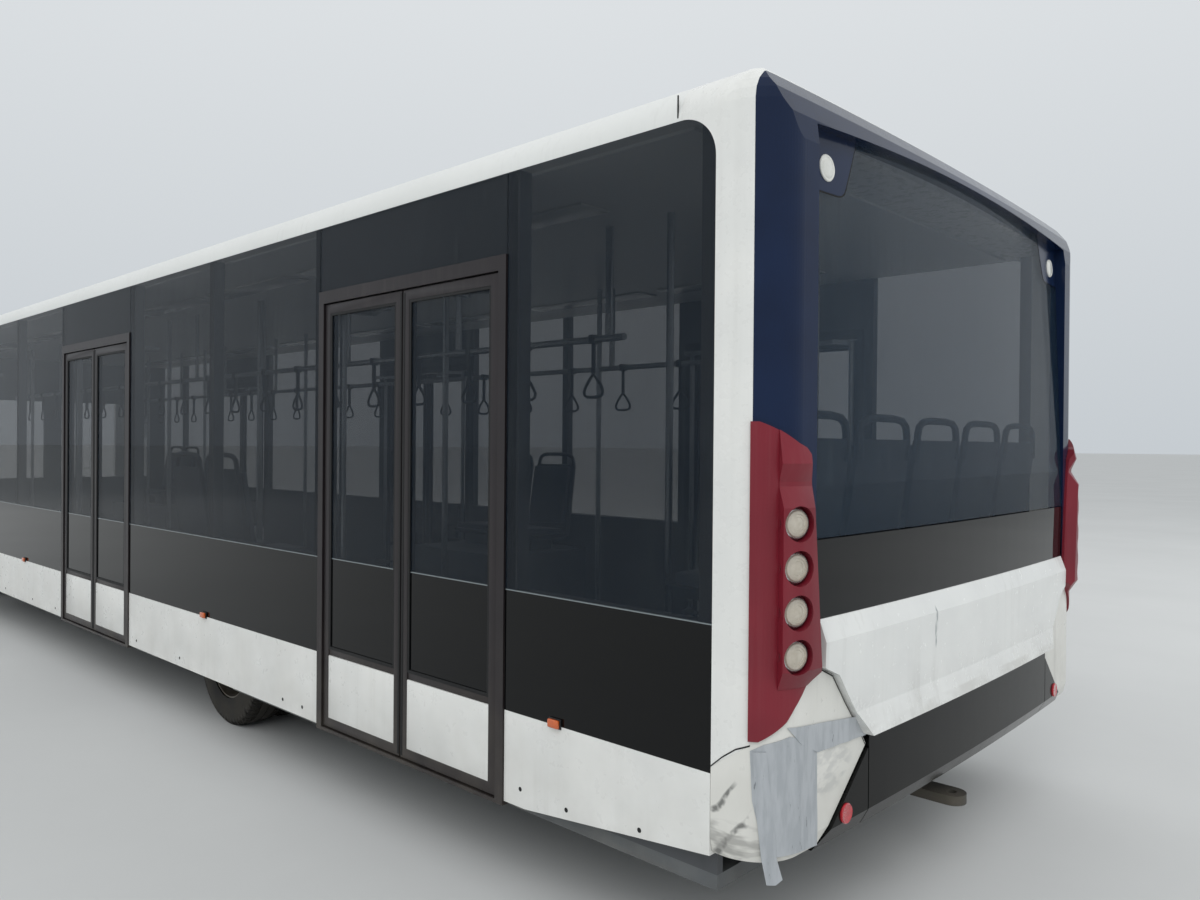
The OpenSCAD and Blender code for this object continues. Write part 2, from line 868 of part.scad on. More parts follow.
// Plan of the inner ramp: how far back, how far outboard
ramp_plan = [[100, 0], [0, 0], [-78, 100], [-78, 400], [100, 400]];
module lamp_panels() {
    color("#7a2e3a")
        both_sides()
            difference() {
                intersection() {
                    along(x_rear - 100, post_rear_x - 1) polygon(from_side(panel_outline, 0));
                    union() {
                        tail_wall(-strip_proud, -fit, 880, 1870);
                        intersection() {
                            rear_sweep() polygon(boss_profile);
                            panel_ramp();
                            panel_flank();
                        }
                    }
                }
                for (k = [0 : 3])
                    on_tail_corner(lamp_turn, strip_proud + 2, lamp_low_z + k * lamp_step)
                        cylinder(r = cup_r, h = 100);
            }
}

// Space outboard of a boss's leaning inner ramp
module panel_ramp() {
    translate([x_tail + rear_bulge, y_side - ramp_in, ramp_z]) rotate([-ramp_lean, 0, 0])
        linear_extrude(height = 1800, center = true) polygon(ramp_plan);
}

// Space inboard of a boss's outer flank
module panel_flank() {
    reach = 300;
    far = [rear_c_x - reach * cos(boss_turn), rear_c_y + reach * sin(boss_turn)];
    linear_extrude(height = body_h)
        polygon([[rear_c_x, rear_c_y], far, [x_rear - reach, far[1]], [x_rear - reach, 0], [rear_c_x, 0]]);
}

// Round lamps: rear lamps, high rear lamps and reflectors, headlamps, side markers
lamp_r = 48;
lamp_t = 24;
cup_r = 55;
lamp_low_z = 1147;
lamp_step = 135.5;
lamp_turn = 20;
high_lamp_r = 45;
high_lamp_y = y_side - 368;
high_lamp_z = window_high - 161;
reflector_y = y_side - 426;
reflector_z = 576;
reflector_r = 34;
disc_t = 8;
marker_size = [62, 22, 38];
marker_z = skirt_top - 10;
marker_xs = [
    post_front_x + 702,
    wall_ends[1][0] + 1298,
    wall_ends[2][0] + 979,
    wall_ends[3][0] + 300,
];
headlamp_z = 780;
headlamp_r = 80;
headlamp_t = 30;
headlamp_ys = [y_side - 570, y_side - 370];
module lamps() {
    color("white")
        both_sides() {
            for (k = [0 : 3])
                on_tail_corner(lamp_turn, strip_proud + 2 + fit, lamp_low_z + k * lamp_step)
                    cylinder(r = lamp_r, h = lamp_t);
            raked()
                on_tail(high_lamp_y, fit - pane_in, high_lamp_z) cylinder(r = high_lamp_r, h = disc_t);
            on_tail(reflector_y, bumper_proud + fit, reflector_z) cylinder(r = reflector_r, h = disc_t);
            for (y = headlamp_ys)
                on_nose(y, -headlamp_t, headlamp_z) cylinder(r = headlamp_r, h = headlamp_t);
            for (x = marker_xs)
                translate([x - marker_size[0] / 2, y_side + fit, marker_z])
                    cube(marker_size);
        }
}

// Puts its child, which rises along Z, on the rear face, so far out from it
module on_tail(y, out, z) {
    turn = asin(y / (rear_bow_r + out));
    translate([rear_bow_x, 0, z]) rotate([0, 0, 180 - turn]) rotate([0, 90, 0])
        translate([0, 0, rear_bow_r + out]) children();
}

// The same on a rear corner, turned from straight back towards the side
module on_tail_corner(turn, out, z) {
    translate([rear_c_x, rear_c_y, z]) rotate([0, 0, 180 - turn]) rotate([0, 90, 0])
        translate([0, 0, tail_corner_r + out]) children();
}

// The same on the front face
module on_nose(y, out, z) {
    turn = asin(y / (front_bow_r + out));
    translate([front_bow_x, 0, z]) rotate([0, 0, turn]) rotate([0, 90, 0])
        translate([0, 0, front_bow_r + out]) children();
}

// White hoop round the front end
module front_hoop() {
    color("white") {
        difference() {
            nose_wall(0, wall_t, mask_high, rail_bottom);
            along(front_c_x - 50, x_front + 1)
                rounded([-screen_half, mask_high - 100], [screen_half, screen_high], screen_corner_r);
        }
        intersection() {
            along(nose_seam_x, x_front) section(0);
            nose();
            block([nose_seam_x, -y_side, rail_bottom], [x_front, y_side, body_h]);
        }
    }
}

// Bowed windscreen
module windscreen() {
    color("darkslategray")
        intersection() {
            nose_wall(2, 2 + glass_t, mask_high + fit, screen_high);
            along(front_c_x - 50, x_front + 1)
                rounded([-screen_half + fit, mask_high - 100], [screen_half - fit, screen_high - fit],
                    screen_corner_r - fit);
        }
}

// White panel below the windscreen, with the headlamps' pockets
module front_mask() {
    color("white")
        difference() {
            nose_wall(0, wall_t, mask_low, mask_high);
            both_sides()
                for (y = headlamp_ys)
                    on_nose(y, -headlamp_t - fit, headlamp_z)
                        cylinder(r = headlamp_r + fit, h = 2 * headlamp_t);
        }
}

// Front bumper, its lower edge drawn in
module front_bumper() {
    color("white") {
        nose_wall(0, wall_t, front_bumper_low + front_bumper_step, mask_low - fit);
        nose_wall(front_bumper_step / 2, wall_t, front_bumper_low, front_bumper_low + front_bumper_step);
    }
}

// Outside mirrors, each hanging from a short arm
mirror_arm_z = body_h - 750;
mirror_arm_r = 16;
mirror_arm_len = 220;
mirror_half = 40;
mirror_near = 120;
mirror_w = 200;
mirror_h = 440;
module mirrors() {
    color("black")
        both_sides() {
            translate([front_c_x, y_side, mirror_arm_z])
                rotate([-90, 0, 0]) cylinder(r = mirror_arm_r, h = mirror_arm_len);
            block([front_c_x - mirror_half, y_side + mirror_near, mirror_arm_z - 10 - mirror_h],
                [front_c_x + mirror_half, y_side + mirror_near + mirror_w, mirror_arm_z - 10]);
        }
}

// Passenger seats and the driver's seat
seat_w = 440;
seat_pitch = 500;
seat_leg = 300;
box_seat_leg = 30;
seat_back_reach = 290;
box_seat_y = y_wall - seat_back_reach - 5;
// Places of the seats: x, y, height of what carries them, heading, leg
seat_places = [
    for (k = [-2 : 2]) [x_rear + 470, k * seat_pitch, platform_top, 0, seat_leg],
    for (side = [-1, 1], k = [-0.5, 0.5])
        [x_rear_axle + k * seat_pitch, side * box_seat_y, box_top, side * -90, box_seat_leg],
    for (side = [-1, 1], k = [-0.5, 0.5])
        [x_front_axle + k * seat_pitch, side * box_seat_y, box_top, side * -90, box_seat_leg],
    [cab_x + 420, driver_y, floor_top, 0, seat_leg],
];
module seats() {
    color("darkslateblue")
        for (place = seat_places)
            translate([place[0], place[1], place[2]]) rotate([0, 0, place[3]]) seat(place[4]);
}
// A seat facing +X, its back behind the origin
module seat(leg) {
    across(-seat_w / 2, seat_w / 2)
        polygon([
            [-60, 0], [160, 0], [200, leg], [230, leg + 80], [220, leg + 130], [-150, leg + 100],
            [-240, leg + 650], [-seat_back_reach, leg + 640], [-210, leg + 30], [-60, leg],
        ]);
}

// Grab rails under the ceiling and poles at the doors
grab_r = 17;
grab_y = 640;
grab_z = ceiling_z - 534;
pole_along = 820;
module grab_rails() {
    color("gold")
        both_sides() {
            translate([platform_x + 435, grab_y, grab_z]) rotate([0, 90, 0])
                cylinder(r = grab_r, h = cab_x - platform_x - 1294);
            for (number = door_numbers, end = [-1, 1])
                translate([door_x(number) + end * pole_along, grab_y, floor_top])
                    cylinder(r = grab_r, h = ceiling_z - floor_top);
        }
}

// Wall behind the driver, with a window on each side
cab_wall_t = 40;
cab_window_low = floor_top + 880;
cab_window_w = y_wall - 330;
module cab_wall() {
    color("gray")
        difference() {
            block([cab_x, -y_wall + fit, floor_top], [cab_x + cab_wall_t, y_wall - fit, ceiling_z]);
            both_sides()
                block([cab_x - 1, 100, cab_window_low],
                    [cab_x + cab_wall_t + 1, 100 + cab_window_w, grab_z]);
        }
}

// Dashboard with the steering wheel on its column
dash_x = x_front - 585;
dash_depth = 260;
dash_half = y_side - 250;
dash_top = floor_top + 710;
wheel_tilt = 30;
steering_r = 225;
steering_rim_r = 16;
column_r = 30;
column_len = 345;
module dashboard() {
    color("dimgray") {
        block([dash_x, -dash_half, floor_top], [dash_x + dash_depth, dash_half, dash_top]);
        translate([dash_x - 150, driver_y, dash_top + 20]) rotate([0, -wheel_tilt, 0]) {
            rotate_extrude() translate([steering_r, 0]) circle(r = steering_rim_r, $fn = 24);
            block([-steering_r, -18, -8], [steering_r, 18, 8]);
            translate([0, 0, 5 - column_len]) cylinder(r = column_r, h = column_len);
        }
    }
}

// Steering knuckle: kingpin and stub axle
module knuckle() {
    translate([x_front_axle, y_kingpin, 0]) {
        translate([0, 0, tyre_r - fork_half]) cylinder(r = 42, h = 2 * fork_half);
        translate([0, 0, tyre_r]) rotate([-90, 0, 0]) cylinder(r = stub_r, h = kingpin_in + 40);
    }
}

// A tyre about the Y axis, with rounded shoulders
module tyre(y) {
    shoulder = 28;
    bulge = 8;
    translate([0, y, tyre_r]) rotate([90, 0, 0])
        rotate_extrude($fn = 96)
            intersection() {
                translate([bead_r, -tyre_w / 2]) square([tyre_r - bead_r, tyre_w]);
                union() {
                    translate([bead_r, -tyre_w / 2 + bulge])
                        square([tyre_r - bead_r - shoulder, tyre_w - 2 * bulge]);
                    translate([bead_r + 30, -tyre_w / 2])
                        square([tyre_r - bead_r - shoulder - 60, tyre_w]);
                    translate([bead_r, -tyre_w / 2 + shoulder])
                        square([tyre_r - bead_r, tyre_w - 2 * shoulder]);
                    for (end = [-1, 1])
                        translate([tyre_r - shoulder, end * (tyre_w / 2 - shoulder)])
                            circle(r = shoulder);
                }
            }
}

// A rim about the Y axis: barrel, holed disc and hub; disc_at is the disc's place from the middle
module rim(y, disc_at, hub_from, hub_to) {
    barrel_w = tyre_w - 40;
    hole_count = 10;
    hole_ring_r = 170;
    hole_r = 28;
    translate([0, y, tyre_r]) rotate([-90, 0, 0])
        difference() {
            rotate_extrude($fn = 96) {
                translate([bead_r - rim_t, -barrel_w / 2]) square([rim_t, barrel_w]);
                translate([stub_r + fit, disc_at - 7]) square([bead_r - stub_r - rim_t, 14]);
                translate([stub_r + fit, hub_from]) square([hub_r - stub_r, hub_to - hub_from]);
            }
            for (k = [0 : hole_count - 1])
                rotate([0, 0, k * 360 / hole_count])
                    translate([hole_ring_r, 0, disc_at - 20]) cylinder(r = hole_r, h = 40);
        }
}

module wheel_side(side) {
    mirror([0, side == "right" ? 1 : 0, 0]) children();
}

module front_tyre() {
    color("#222222") translate([x_front_axle, 0, 0]) tyre(y_wheel);
}

module rear_tyres() {
    color("#222222")
        translate([x_rear_axle, 0, 0]) {
            tyre(y_wheel);
            tyre(y_twin);
        }
}

module front_rim() {
    color("gray") translate([x_front_axle, 0, 0]) rim(y_wheel, 60, -60, 70);
}

module rear_rims() {
    color("gray")
        translate([x_rear_axle, 0, 0]) {
            rim(y_wheel, -60, -twin_pitch / 2, 60);
            rim(y_twin, 60, -60, twin_pitch / 2);
        }
}

chassis();
floor_plate();  // floor
axles();
engine();
roof();
side_frames();
side_glass();
skirts();
door_frames();
rear_hoop();
rear_surround();
rear_glazing();
rear_band();
rear_bumper();
rear_corners();
lamp_panels();
lamps();
front_hoop();
windscreen();
front_mask();
front_bumper();
mirrors();
seats();
grab_rails();
cab_wall();
dashboard();
color("dimgray") knuckle();  // knuckle_left
color("dimgray") mirror([0, 1, 0]) knuckle();  // knuckle_right
for (side = ["left", "right"], number = door_numbers, half = ["rear", "front"]) {
    color("#3a353b") at_door(side, number, half) leaf();
    color("silver") at_door(side, number, half) arm();
}
for (side = ["left", "right"]) {
    wheel_side(side) front_tyre();
    wheel_side(side) front_rim();
    wheel_side(side) rear_tyres();
    wheel_side(side) rear_rims();
}
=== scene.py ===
import math

import bmesh
import bpy
from mathutils import Matrix, Vector, noise


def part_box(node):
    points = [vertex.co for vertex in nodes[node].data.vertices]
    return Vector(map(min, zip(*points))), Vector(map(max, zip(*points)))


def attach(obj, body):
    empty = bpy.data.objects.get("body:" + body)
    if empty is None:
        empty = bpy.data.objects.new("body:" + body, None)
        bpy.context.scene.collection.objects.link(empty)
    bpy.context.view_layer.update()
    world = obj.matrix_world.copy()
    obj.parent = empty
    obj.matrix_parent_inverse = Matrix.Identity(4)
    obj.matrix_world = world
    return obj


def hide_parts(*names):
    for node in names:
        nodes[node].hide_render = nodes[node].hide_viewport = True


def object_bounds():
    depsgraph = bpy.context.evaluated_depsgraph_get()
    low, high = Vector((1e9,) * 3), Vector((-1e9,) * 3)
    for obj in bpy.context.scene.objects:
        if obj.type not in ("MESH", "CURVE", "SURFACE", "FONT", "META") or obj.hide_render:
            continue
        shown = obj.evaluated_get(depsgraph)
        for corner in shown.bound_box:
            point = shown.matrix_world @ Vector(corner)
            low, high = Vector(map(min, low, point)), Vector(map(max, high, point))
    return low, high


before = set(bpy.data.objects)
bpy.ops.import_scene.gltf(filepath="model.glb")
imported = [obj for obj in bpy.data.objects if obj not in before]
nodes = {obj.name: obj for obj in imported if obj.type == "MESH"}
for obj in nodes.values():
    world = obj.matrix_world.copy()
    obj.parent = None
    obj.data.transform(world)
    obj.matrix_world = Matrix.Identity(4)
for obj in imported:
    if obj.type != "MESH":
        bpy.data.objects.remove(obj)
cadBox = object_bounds()
print("frame loaded:", len(nodes), "nodes")


# Small tools for nodes and colours

def linearColour(code):
    parts = [int(code[i:i + 2], 16) / 255 for i in (1, 3, 5)]
    return [p / 12.92 if p <= 0.04045 else ((p + 0.055) / 1.055) ** 2.4 for p in parts] + [1.0]


def addNode(tree, kind, settings=None):
    # A node with its settings and links: a node or an output is linked, a hex colour made linear
    node = tree.nodes.new("ShaderNode" + kind)
    for name, value in (settings or {}).items():
        if isinstance(value, str) and value.startswith("#"):
            value = linearColour(value)
        if isinstance(value, bpy.types.Node):
            value = value.outputs[0]
        if isinstance(value, bpy.types.NodeSocket):
            tree.links.new(value, node.inputs[name])
        elif isinstance(name, str) and hasattr(node, name):
            setattr(node, name, value)
        else:
            node.inputs[name].default_value = value
    return node


def newMaterial(name):
    material = bpy.data.materials.new(name)
    material.use_nodes = True
    tree = material.node_tree
    tree.nodes.clear()
    coords = addNode(tree, "TexCoord").outputs["Object"]
    return material, tree, coords


def noiseMask(tree, coords, sizeMm, low, high, stretch=(1, 1, 1), detail=5):
    # 0 to 1 patches about sizeMm across; stretch lengthens them along an axis
    turned = addNode(tree, "Mapping", {"Scale": [1 / s for s in stretch], "Vector": coords})
    grain = addNode(tree, "TexNoise", {"Scale": 1000 / sizeMm, "Detail": detail, "Roughness": 0.6,
                                       "Vector": turned})
    return addNode(tree, "MapRange", {"From Min": low, "From Max": high, "Value": grain})


def heightMask(tree, coords, low, high):
    # 1 below low, 0 above high
    z = addNode(tree, "SeparateXYZ", {0: coords}).outputs["Z"]
    return addNode(tree, "MapRange", {"From Min": high, "From Max": low, "Value": z})


def layered(tree, under, over, amount, *masks):
    # Lays one colour over another, as much as amount times every mask, and gives that share too
    share = masks[0]
    for factor in (*masks[1:], amount):
        share = addNode(tree, "Math", {"operation": "MULTIPLY", 0: share, 1: factor})
    mixed = addNode(tree, "Mix", {"data_type": "RGBA", 0: share, 6: under, 7: over})
    return mixed.outputs[2], share


# What a surface has where its own settings don't say otherwise
usualLook = {"cloudMm": 300, "grainStretch": (1, 1, 1), "streak": 0, "streakMm": 25,
             "soilColour": "#8C8880", "dust": 0, "dustLow": 0.3, "dustHigh": 1.1,
             "dustColour": "#8F8878", "marks": [], "metallic": 0.0, "specular": 0.5, "coat": 0.0}
# What every surface has: sizes of patches in mm, and how much soil dulls the gloss
weather = {"runPatchMm": 700, "runStretch": (1, 1, 40), "dustPatchMm": 220, "strokeScale": 159,
           "strokePatchMm": 50, "dulling": 0.35, "bump": 0.6, "coatRough": 0.05, "ior": 1.5}


def weathered(name, settings):
    # One weathered surface: cloudy tone, streaks that run down, dust near the ground, local marks
    look = {**usualLook, **settings}
    material, tree, coords = newMaterial(name)
    cloud = noiseMask(tree, coords, look["cloudMm"], 0.35, 0.65, detail=2)
    colour = layered(tree, look["base"], look["tone"], look["cloud"], cloud)[0]
    grain = noiseMask(tree, coords, look["grainMm"], 0.3, 0.7, look["grainStretch"], 3)
    soil = None
    if look["streak"]:
        runs = noiseMask(tree, coords, look["streakMm"], 0.5, 0.72, weather["runStretch"], 3)
        patches = noiseMask(tree, coords, weather["runPatchMm"], 0.4, 0.62, detail=2)
        colour, soil = layered(tree, colour, look["soilColour"], look["streak"], runs, patches)
    if look["dust"]:
        low = heightMask(tree, coords, look["dustLow"], look["dustHigh"])
        patches = noiseMask(tree, coords, weather["dustPatchMm"], 0.3, 0.7, detail=4)
        colour, soil = layered(tree, colour, look["dustColour"], look["dust"], low, patches)
    for mark in look["marks"]:
        size = mark["size"]
        spot = addNode(tree, "Mapping", {"Location": [-a / s for a, s in zip(mark["at"], size)],
                                         "Scale": [1 / s for s in size], "Vector": coords})
        away = addNode(tree, "VectorMath", {"operation": "LENGTH", 0: spot}).outputs["Value"]
        inside = addNode(tree, "MapRange", {"From Min": 1.0, "From Max": 0.75, "Value": away})
        if "stroke" in mark:
            # Curved strokes left by a scrape, a little over twice breakMm apart
            bands = addNode(tree, "TexWave", {
                "wave_type": "BANDS", "bands_direction": mark["stroke"], "Distortion": 9,
                "Scale": weather["strokeScale"] / mark["breakMm"], "Detail": 2,
                "Detail Scale": 0.7, "Vector": coords}).outputs["Fac"]
            thin = addNode(tree, "MapRange", {"From Min": 0.86, "From Max": 0.98, "Value": bands})
            patches = noiseMask(tree, coords, weather["strokePatchMm"], 0.42, 0.56, detail=2)
            broken = addNode(tree, "Math", {"operation": "MULTIPLY", 0: thin, 1: patches})
        else:
            broken = noiseMask(tree, coords, mark["breakMm"], mark["from"], mark["to"],
                               mark["stretch"], 2)
        colour = layered(tree, colour, mark["colour"], mark["amount"], inside, broken)[0]
    low, high = look["rough"]
    rough = addNode(tree, "MapRange", {"To Min": low, "To Max": high, "Value": grain})
    if soil is not None:
        rough = addNode(tree, "Math", {"operation": "MULTIPLY_ADD", "use_clamp": True, 0: soil,
                                       1: weather["dulling"], 2: rough})
    bump = addNode(tree, "Bump", {"Strength": weather["bump"], "Distance": look["bumpMm"] / 1000,
                                  "Height": grain})
    shader = addNode(tree, "BsdfPrincipled", {
        "Metallic": look["metallic"], "IOR": weather["ior"], "Specular IOR Level": look["specular"],
        "Coat Weight": look["coat"], "Coat Roughness": weather["coatRough"],
        "Base Color": colour, "Roughness": rough, "Normal": bump})
    addNode(tree, "OutputMaterial", {0: shader})
    return material


# White baked enamel on steel: glossy, greyed by dust and rain runs
whiteEnamel = weathered("bakedEnamelWhite", {
    "base": "#EBEBE7", "tone": "#E0E1DE", "cloud": 0.6, "rough": (0.24, 0.34), "grainMm": 40,
    "bumpMm": 0.05, "streak": 0.14, "streakMm": 45, "soilColour": "#A9A69E", "dust": 0.28,
    "dustHigh": 0.9})
# The same enamel where the rear corner was scraped: black swirls and grey smears
scuffedEnamel = weathered("bakedEnamelWhiteScuffed", {
    "base": "#E6E5DF", "tone": "#D6D5CE", "cloud": 0.7, "rough": (0.26, 0.45), "grainMm": 30,
    "bumpMm": 0.08, "streak": 0.25, "streakMm": 45, "dust": 0.35, "dustHigh": 0.9,
    "marks": [
        {"at": (-6.69, 1.49, 0.62), "size": (0.1, 0.1, 0.15), "colour": "#2A2C2D",
         "amount": 0.75, "breakMm": 34, "stroke": "DIAGONAL"},
        {"at": (-6.72, 1.48, 0.56), "size": (0.14, 0.12, 0.07), "colour": "#8B8A86",
         "amount": 0.6, "breakMm": 60, "from": 0.45, "to": 0.6, "stretch": (2, 2, 0.5)},
        {"at": (-6.86, 1.2, 0.75), "size": (0.2, 0.2, 0.1), "colour": "#8E9193",
         "amount": 0.28, "breakMm": 70, "from": 0.45, "to": 0.6, "stretch": (1, 1, 0.5)}]})
# The band's enamel: a grey rub beside the middle and a darker grey line along the crease
bandEnamel = weathered("bakedEnamelWhiteBand", {
    "base": "#EBECE9", "tone": "#E1E2E0", "cloud": 0.6, "rough": (0.18, 0.28), "grainMm": 40,
    "bumpMm": 0.04, "streak": 0.2, "streakMm": 40, "dust": 0.2, "dustLow": 0.8, "dustHigh": 1.0,
    "marks": [
        {"at": (-6.91, 0.425, 1.109), "size": (0.2, 0.013, 0.085), "colour": "#8D9295",
         "amount": 0.8, "breakMm": 14, "from": 0.35, "to": 0.5, "stretch": (1, 1, 5)},
        {"at": (-6.92, 0.15, 0.825), "size": (0.2, 1.3, 0.028), "colour": "#A9A59C",
         "amount": 0.3, "breakMm": 90, "from": 0.42, "to": 0.6, "stretch": (1, 3, 1)}]})
# Deep blue gloss coat: almost black away from the light
navyGloss = weathered("clearCoatedNavy", {
    "base": "#142442", "tone": "#0E1A31", "cloud": 0.5, "rough": (0.12, 0.18), "grainMm": 60,
    "bumpMm": 0.02, "specular": 0.22})
# Black acrylic: wet gloss with fine dust
blackGloss = weathered("polishedAcrylicBlack", {
    "base": "#050607", "tone": "#08090B", "cloud": 0.5, "rough": (0.1, 0.18), "grainMm": 60,
    "bumpMm": 0.02, "dust": 0.06, "dustHigh": 0.8, "specular": 0.14})
# Thermoformed burgundy ABS: soft sheen, a little paler where rain has run
burgundyPlastic = weathered("thermoformedPlasticBurgundy", {
    "base": "#7E1F2D", "tone": "#6E1A27", "cloud": 0.7, "rough": (0.3, 0.42), "grainMm": 6,
    "bumpMm": 0.03, "streak": 0.12, "soilColour": "#8E5A5C", "specular": 0.4})
# Bronze-dark anodised aluminium, drawn: satin with fine lengthwise lines
doorAluminium = weathered("anodisedAluminiumBronze", {
    "base": "#2B2628", "tone": "#221E20", "cloud": 0.5, "rough": (0.34, 0.46), "grainMm": 2.5,
    "grainStretch": (1, 1, 18), "bumpMm": 0.03, "streak": 0.2, "soilColour": "#5B5552",
    "dust": 0.2, "metallic": 0.3})
# Wall lining, moulded laminate: matt dark grey
wallLining = weathered("mouldedLaminateGrey", {
    "base": "#4A4C4F", "tone": "#404245", "cloud": 0.5, "rough": (0.5, 0.65), "grainMm": 2.5,
    "bumpMm": 0.1})
# Baked enamel of the roof: pale and satin, with faint soot lines
roofEnamel = weathered("bakedEnamelRoof", {
    "base": "#E6E7E4", "tone": "#DBDCD9", "cloud": 0.5, "cloudMm": 1200, "rough": (0.3, 0.45),
    "grainMm": 40, "bumpMm": 0.02, "streak": 0.1})
# Calendered vinyl floor with grit in it: matt grey, dusty in patches
vinylFloor = weathered("gritVinylGrey", {
    "base": "#5C6063", "tone": "#4F5356", "cloud": 0.8, "cloudMm": 120, "rough": (0.55, 0.75),
    "grainMm": 3, "bumpMm": 0.25, "dust": 0.25, "dustHigh": 0.6})
# Chassis black brushed over steel: matt, greyed by road dust
framePaint = weathered("brushedOnPaintFrame", {
    "base": "#2F3032", "tone": "#3B3A38", "cloud": 0.8, "rough": (0.5, 0.7), "grainMm": 6,
    "bumpMm": 0.2, "dust": 0.55, "dustHigh": 0.7, "dustColour": "#6E6759"})
# Sand-cast iron: rough dull grey with brown clouds
castIron = weathered("sandCastIron", {
    "base": "#6D6F70", "tone": "#55524E", "cloud": 0.8, "rough": (0.5, 0.7), "grainMm": 2,
    "bumpMm": 0.4, "metallic": 0.7})
# Moulded grained ABS of cab and mirrors: dark, with a pebbled sheen
grainedPlastic = weathered("mouldedPlasticBlack", {
    "base": "#1A1B1D", "tone": "#222326", "cloud": 0.4, "rough": (0.42, 0.55), "grainMm": 1.6,
    "bumpMm": 0.12})
# Extruded EPDM rubber: deep matt black
softRubber = weathered("extrudedRubberBlack", {
    "base": "#101112", "tone": "#1B1B1B", "cloud": 0.5, "rough": (0.6, 0.75), "grainMm": 3,
    "bumpMm": 0.08})
# Brushed stainless tube: bright, with fine lines along it
brushedSteel = weathered("brushedStainless", {
    "base": "#B4B7B9", "tone": "#9EA2A5", "cloud": 0.4, "rough": (0.2, 0.36), "grainMm": 1.5,
    "grainStretch": (14, 1, 1), "bumpMm": 0.03, "metallic": 1.0})
# Sprayed rim enamel: dull grey under brown brake dust
rimPaint = weathered("dustyEnamelRim", {
    "base": "#7D7973", "tone": "#5E564D", "cloud": 0.9, "cloudMm": 90, "rough": (0.45, 0.65),
    "grainMm": 4, "bumpMm": 0.15, "dust": 0.4, "dustHigh": 0.9, "metallic": 0.3})
# Zinc-plated steel: pale cool metal, dusty near the ground
zincPlate = weathered("zincPlatedSteel", {
    "base": "#A9ABAD", "tone": "#8A8782", "cloud": 0.6, "rough": (0.3, 0.45), "grainMm": 2,
    "bumpMm": 0.05, "metallic": 1.0, "dust": 0.3})
# Vulcanised tyre rubber with dry dust in the tread
tyreRubber = weathered("vulcanisedRubber", {
    "base": "#1B1B1C", "tone": "#262523", "cloud": 0.7, "cloudMm": 60, "rough": (0.68, 0.85),
    "grainMm": 3, "bumpMm": 0.25, "dust": 0.5, "dustHigh": 0.9, "dustColour": "#5C564B"})
# Moulded nylon seat shell: dark blue-grey with a fine dull grain
seatPlastic = weathered("mouldedNylonSeat", {
    "base": "#26292E", "tone": "#1F2226", "cloud": 0.4, "rough": (0.38, 0.5), "grainMm": 2,
    "bumpMm": 0.1})
# Moulded clear acrylic lens: warm grey, sparkling in small facets under its gloss
ribbedLens = weathered("mouldedLensClear", {
    "base": "#B9B0A0", "tone": "#CFC8BA", "cloud": 0.6, "cloudMm": 25, "rough": (0.08, 0.22),
    "grainMm": 5, "bumpMm": 0.5, "coat": 1.0, "streak": 0.15})
# Moulded red acrylic lens: glossy, paler and deeper from facet to facet
redLens = weathered("mouldedLensRed", {
    "base": "#C01828", "tone": "#9A1020", "cloud": 0.5, "cloudMm": 12, "rough": (0.1, 0.2),
    "grainMm": 3, "bumpMm": 0.6, "coat": 1.0})
# Moulded orange acrylic lens: glossy, darker between its facets
orangeLens = weathered("mouldedLensOrange", {
    "base": "#D2601A", "tone": "#B84C10", "cloud": 0.5, "cloudMm": 12, "rough": (0.1, 0.22),
    "grainMm": 4, "bumpMm": 0.5, "coat": 1.0})
# Moulded opal acrylic: milk white with a smooth soft gloss
milkyDome = weathered("mouldedLensMilky", {
    "base": "#E4E4DE", "tone": "#D2D2CA", "cloud": 0.5, "cloudMm": 20, "rough": (0.15, 0.25),
    "grainMm": 6, "bumpMm": 0.1, "coat": 0.6})
# Aluminium vapour-coated on plastic: a bright, slightly uneven mirror
silverReflector = weathered("vapourCoatedReflector", {
    "base": "#C9CCCE", "tone": "#A9ADB0", "cloud": 0.6, "cloudMm": 20, "rough": (0.1, 0.2),
    "grainMm": 6, "bumpMm": 0.2, "metallic": 0.9})


def silverClothTape():
    # Cloth tape with a silver film: threads show through, dirt sits in the creases
    material, tree, coords = newMaterial("clothTapeSilver")
    # Threads 5 mm apart, drawn coarser than the real 1.5 mm so that they show
    along, across = [addNode(tree, "TexWave", {"wave_type": "BANDS", "bands_direction": way,
                                               "Scale": 60, "Vector": coords}).outputs["Fac"]
                     for way in "ZY"]
    weave = addNode(tree, "Math", {"operation": "MULTIPLY", 0: along, 1: across})
    crease = noiseMask(tree, coords, 34, 0.42, 0.6, (1, 1, 5), 3)
    colour = layered(tree, "#B9BDC1", "#9DA2A6", 0.4, crease)[0]
    cracks = noiseMask(tree, coords, 16, 0.66, 0.7, (1, 1, 4), 3)
    colour = layered(tree, colour, "#5E6164", 0.6, cracks)[0]
    height = addNode(tree, "Math", {"operation": "MULTIPLY_ADD", 0: weave, 1: 0.08, 2: crease})
    bump = addNode(tree, "Bump", {"Strength": 0.7, "Distance": 0.0012, "Height": height})
    rough = addNode(tree, "MapRange", {"To Min": 0.34, "To Max": 0.6, "Value": crease})
    shader = addNode(tree, "BsdfPrincipled", {"Metallic": 0.25, "Base Color": colour,
                                              "Roughness": rough, "Normal": bump})
    addNode(tree, "OutputMaterial", {0: shader})
    return material


